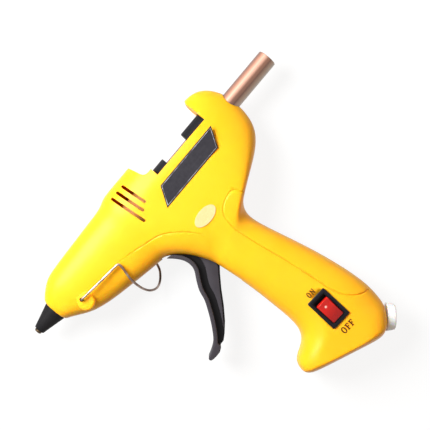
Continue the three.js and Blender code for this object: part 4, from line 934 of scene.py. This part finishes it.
# The rocker's side view, along it and over its axis, is drawn across and then set on its place, tilted.
belly = []
for k in range(BELLY_STEPS, -1, -1):
    turn = math.pi * k / BELLY_STEPS
    belly.append((BELLY_RADIUS * math.cos(turn), -BELLY_RADIUS * math.sin(turn)))
side_view = curved(ROCKER_TOP, 4) + belly
rocker = prism([(-ROCKER_HALF, along, height) for along, height in side_view], (2 * ROCKER_HALF, 0, 0))
for vert in rocker.data.vertices:
    across, along, height = vert.co
    across *= 1 + ROCKER_FLARE * along / ROCKER_REACH
    along, height = (along * math.cos(ROCKER_TILT) - height * math.sin(ROCKER_TILT),
                     along * math.sin(ROCKER_TILT) + height * math.cos(ROCKER_TILT))
    spot = SWITCH_PLACE + Matrix.Rotation(SWITCH_TILT, 2) @ Vector((across, along))
    vert.co = gun(spot.x, spot.y, ROCKER_AXIS + height)
rounded(rocker, 0.45, segments=3)
# The red is painted darker towards the handle's base, as painted shade on the pressed-in OFF end, and a small
# pale painted highlight sits at the rocker's middle. The rocker also glows faintly, most towards its ON end,
# as painted light.
lens, glass = material("red_translucent")
place = glass.place()
speck = place.noise(900)
painted_light_mask = (place.part("Y") + speck * 0.0012).step(-0.1085, -0.0965)
level = glass.node("ShaderNodeMapping", {}, {"Vector": place, "Scale": (1, 1, 0)})
away = glass.node("ShaderNodeVectorMath", {"operation": "DISTANCE"}, {0: level, 1: (*gun(*PAINTED_GLINT).xy, 0)}, 1)
painted_glint = 1 - away.step(0.00035, 0.0009)
red = painted_light_mask.mix((0.22, 0.003, 0.002, 1), (0.62, 0.012, 0.006, 1))
glass.surface({"Base Color": painted_glint.mix(red, (0.95, 0.62, 0.6, 1)), "Roughness": speck * 0.08 + 0.16,
               "Normal": glass.soft_edges(0.0003), "Specular IOR Level": 0.3,
               "Subsurface Weight": 0.3, "Subsurface Scale": 0.002,
               "Emission Color": painted_light_mask.mix((0.02, 0.0, 0.0, 1), (0.3, 0.003, 0.001, 1)),
               "Emission Strength": 0.3})
fit(rocker, "rocker_red", ["switch_rocker"], "switch_rocker", lens)

# Printed letters
# ON and OFF in dark brown-red paint, drawn as capitals with serifs, thin on the handle's flat side. Each
# letter is about 1 high, and comes with its width in the word.
LETTER_N = [(0, 0), (0.33, 0), (0.33, 0.11), (0.24, 0.11), (0.24, 0.68), (0.6, 0), (0.76, 0), (0.76, 0.89),
            (0.84, 0.89), (0.84, 1), (0.52, 1), (0.52, 0.89), (0.62, 0.89), (0.62, 0.4), (0.27, 1), (0, 1),
            (0, 0.89), (0.09, 0.89), (0.09, 0.11), (0, 0.11)]
LETTER_F = [(0, 0), (0.42, 0), (0.42, 0.11), (0.31, 0.11), (0.31, 0.44), (0.42, 0.44), (0.42, 0.34),
            (0.52, 0.34), (0.52, 0.66), (0.42, 0.66), (0.42, 0.56), (0.31, 0.56), (0.31, 0.88), (0.52, 0.88),
            (0.55, 0.7), (0.66, 0.7), (0.64, 1), (0, 1), (0, 0.89), (0.1, 0.89), (0.1, 0.11), (0, 0.11)]
LETTER_GAP = 0.12
INK_DEPTH = 0.04
INK_TOP = FLAT_SIDE + 0.06
OPENING_FOOT = FLAT_SIDE - 0.2
OPENING_TOP = INK_TOP + 1


def oval(x, y, half_width, half_height, steps):
    """An oval outline about a middle, with a number of steps in each half turn."""
    return [(x + half_width * math.cos(math.pi * k / steps), y + half_height * math.sin(math.pi * k / steps))
            for k in range(2 * steps)]


LETTER_O = oval(0.38, 0.5, 0.38, 0.54, 16)
O_OPENING = oval(0.38, 0.5, 0.17, 0.4, 16)
ink = moulded("brown_red_ink", (0.075, 0.008, 0.003), (0.11, 0.013, 0.004), rough=0.6, relief=0.004,
              edge=0.02, gloss=0.1)


def word(name, letters, centre, size, width):
    """A word laid on the handle about its centre, square to the switch, from letters and their widths."""
    total = sum(step for _, step in letters) - LETTER_GAP
    turn = Matrix.Rotation(SWITCH_TILT, 2)
    pieces, pen = [], 0.0

    def printed(outline, low, high):
        spots = [Vector(((x + pen - total / 2) * width / total, (y - 0.5) * size)) for x, y in outline]
        return plate([tuple(Vector(centre) + turn @ spot) for spot in spots], low, high)

    for outline, step in letters:
        letter = printed(outline, FLAT_SIDE - INK_DEPTH, INK_TOP)
        if outline is LETTER_O:
            cut(letter, printed(O_OPENING, OPENING_FOOT, OPENING_TOP))
        pieces.append(letter)
        pen += step
    pick(*pieces)
    bpy.ops.object.join()
    fit(bpy.context.object, name, [], "housing", ink, 20)


word("letters_on", [(LETTER_O, 0.9), (LETTER_N, 0.94)], (114.8, -101.3), size=3.1, width=4.9)
word("letters_off", [(LETTER_O, 0.88), (LETTER_F, 0.78), (LETTER_F, 0.76)], (114.0, -128.3), size=3.6,
     width=8.3)

# Label and sticker
# A charcoal foil label with a black edge and a thin silver line, and a pale oval sticker. Both are bare.
LABEL = [(107.2, -1.1), (100.4, -11.8), (143.1, -11.8), (149.9, -1.1)]
LABEL_EDGE = 0.6
LABEL_LINE = 0.2
FACING_UP = 0.9
FOIL_FOOT = FLAT_SIDE - 0.02
LABEL_FACE = FLAT_SIDE + 0.14
STICKER_FACE = FLAT_SIDE + 0.16
label = plate(LABEL, FOIL_FOOT, LABEL_FACE)
film = moulded("charcoal_film", (0.013, 0.012, 0.017), (0.024, 0.023, 0.03), rough=0.5, relief=0.003,
               edge=0.05, scale=500, gloss=0.15)
edge_film = moulded("black_film", (0.004, 0.004, 0.005), (0.009, 0.008, 0.01), rough=0.5, relief=0.004,
                    edge=0.05, gloss=0.15)
silver = metal("silver_line", (0.2, 0.19, 0.2), (0.75, 0.74, 0.75), rough=0.3)
fit(label, "rating_label_film", ["rating_label"], "housing", edge_film, 20)
label.data.materials.append(silver)
label.data.materials.append(film)
bpy.context.view_layer.objects.active = label
bpy.ops.object.mode_set(mode="EDIT")
bpy.ops.mesh.select_mode(type="FACE")
bpy.ops.mesh.select_all(action="DESELECT")
cage = bmesh.from_edit_mesh(label.data)
for face in cage.faces:
    if face.normal.z > FACING_UP:
        face.select_set(True)
bmesh.update_edit_mesh(label.data)
for thickness, index in ((LABEL_EDGE, 1), (LABEL_LINE, 2)):
    bpy.ops.mesh.inset(thickness=thickness / MM_PER_M)
    label.active_material_index = index
    bpy.ops.object.material_slot_assign()
bpy.ops.object.mode_set(mode="OBJECT")
STICKER = oval(110.2, -30.4, 7.5, 4, 32)
pale = moulded("pale_sticker", (0.5, 0.43, 0.19), (0.6, 0.53, 0.27), rough=0.4, relief=0.006, edge=0.05,
               scale=900)
sticker = rounded(plate(STICKER, FOIL_FOOT, STICKER_FACE), 0.06)
fit(sticker, "quality_sticker_foil", ["quality_sticker"], "housing", pale, 20)

# Cord gland, clamp and leads
# A near-white bush holds the cord's end at the corner of the base. Inside, a clamp bar with two screws
# grips the cord, and three covered leads run to the switch and the heater.
GLAND_PROFILE = [(5.2, 3.6), (5.2, 6.6), (4.9, 7.1), (4.3, 7.35), (0.9, 7.95), (0.15, 8.0), (0.15, 5.0),
                 (-2.8, 5.0), (-2.8, 7.0), (-5.3, 7.0), (-5.3, 3.6)]
milky = moulded("milky_plastic", (0.84, 0.9, 0.97), (0.9, 0.95, 1.0), rough=0.3, relief=0.006,
                **{"Subsurface Weight": 0.3, "Subsurface Scale": 0.003})
fit(lathe(GLAND_PROFILE, 0.2, tuple(GLAND), tuple(GLAND_AXIS)), "cord_gland_turned", ["cord_gland"],
    "housing", milky)
fit(softened("cord_clamp", 0.4), "cord_clamp_moulded", ["cord_clamp"], "housing", nylon)
for name, dark, light in (("heater_lead", (0.4, 0.012, 0.008), (0.55, 0.02, 0.014)),
                          ("neutral_lead", (0.02, 0.06, 0.3), (0.03, 0.09, 0.42)),
                          ("live_lead", (0.16, 0.06, 0.025), (0.24, 0.1, 0.04))):
    cover = moulded(name + "_cover", dark, light, rough=0.38, relief=0.006)
    lead = applied(merged(name), "SUBSURF", levels=2, render_levels=2)
    fit(lead, name + "_round", [name], "housing", cover, 60)

# Screws
# Seven plated screws with crossed recesses hold the shells from the right side, in deep wells. The
# profile starts at the middle of the head's face and runs down to the screw's end.
SCREW_PROFILE = [(0, 0), (0, 2.1), (-0.5, 2.7), (-2.0, 2.7), (-2.0, 1.5), (-13.7, 1.5), (-14.0, 1.1),
                 (-14.2, 0)]
SCREW_FACE = -8.8
RECESS = rectangle((-1.7, -0.28), (1.7, 0.28))
RECESS_TURN = 0.35
RECESS_FLOOR = -7.7
PAST_SCREW = -12
SCREW_SIDES = 48
plated = metal("plated_steel", (0.42, 0.42, 0.43), (0.74, 0.74, 0.75), rough=0.3)
for k, (x, y) in enumerate(SCREWS):
    outline = [gun(x + out, y, SCREW_FACE - along) for along, out in SCREW_PROFILE]
    screw = spun(outline, gun(x, y), (0, 0, 1), SCREW_SIDES)
    for turn in (RECESS_TURN, RECESS_TURN + math.pi / 2):
        cosine, sine = math.cos(turn), math.sin(turn)
        bar = [(x + cosine * a - sine * b, y + sine * a + cosine * b) for a, b in RECESS]
        cut(screw, plate(bar, PAST_SCREW, RECESS_FLOOR))
    fit(screw, "cross_screw_%d" % (k + 1), ["shell_screw_%d" % (k + 1)], "housing", plated)

# Small works
# Pins, clips, terminals, the heater and the spring keep their plain solids and get their metals here.
KEPT = [
    (ceramic, ["ptc_heater"]),
    (sheet_steel, ["heater_clamp", "sleeve_clip"]),
    (plated, ["trigger_pin", "link_pin", "lever_pin", "tail_pin", "return_spring", "clamp_screw_1",
              "clamp_screw_2"]),
    (brass, ["switch_terminal_1", "switch_terminal_2", "switch_terminal_3"]),
]
for made, names in KEPT:
    for name in names:
        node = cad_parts[name]
        node.data.materials.clear()
        node.data.materials.append(made)
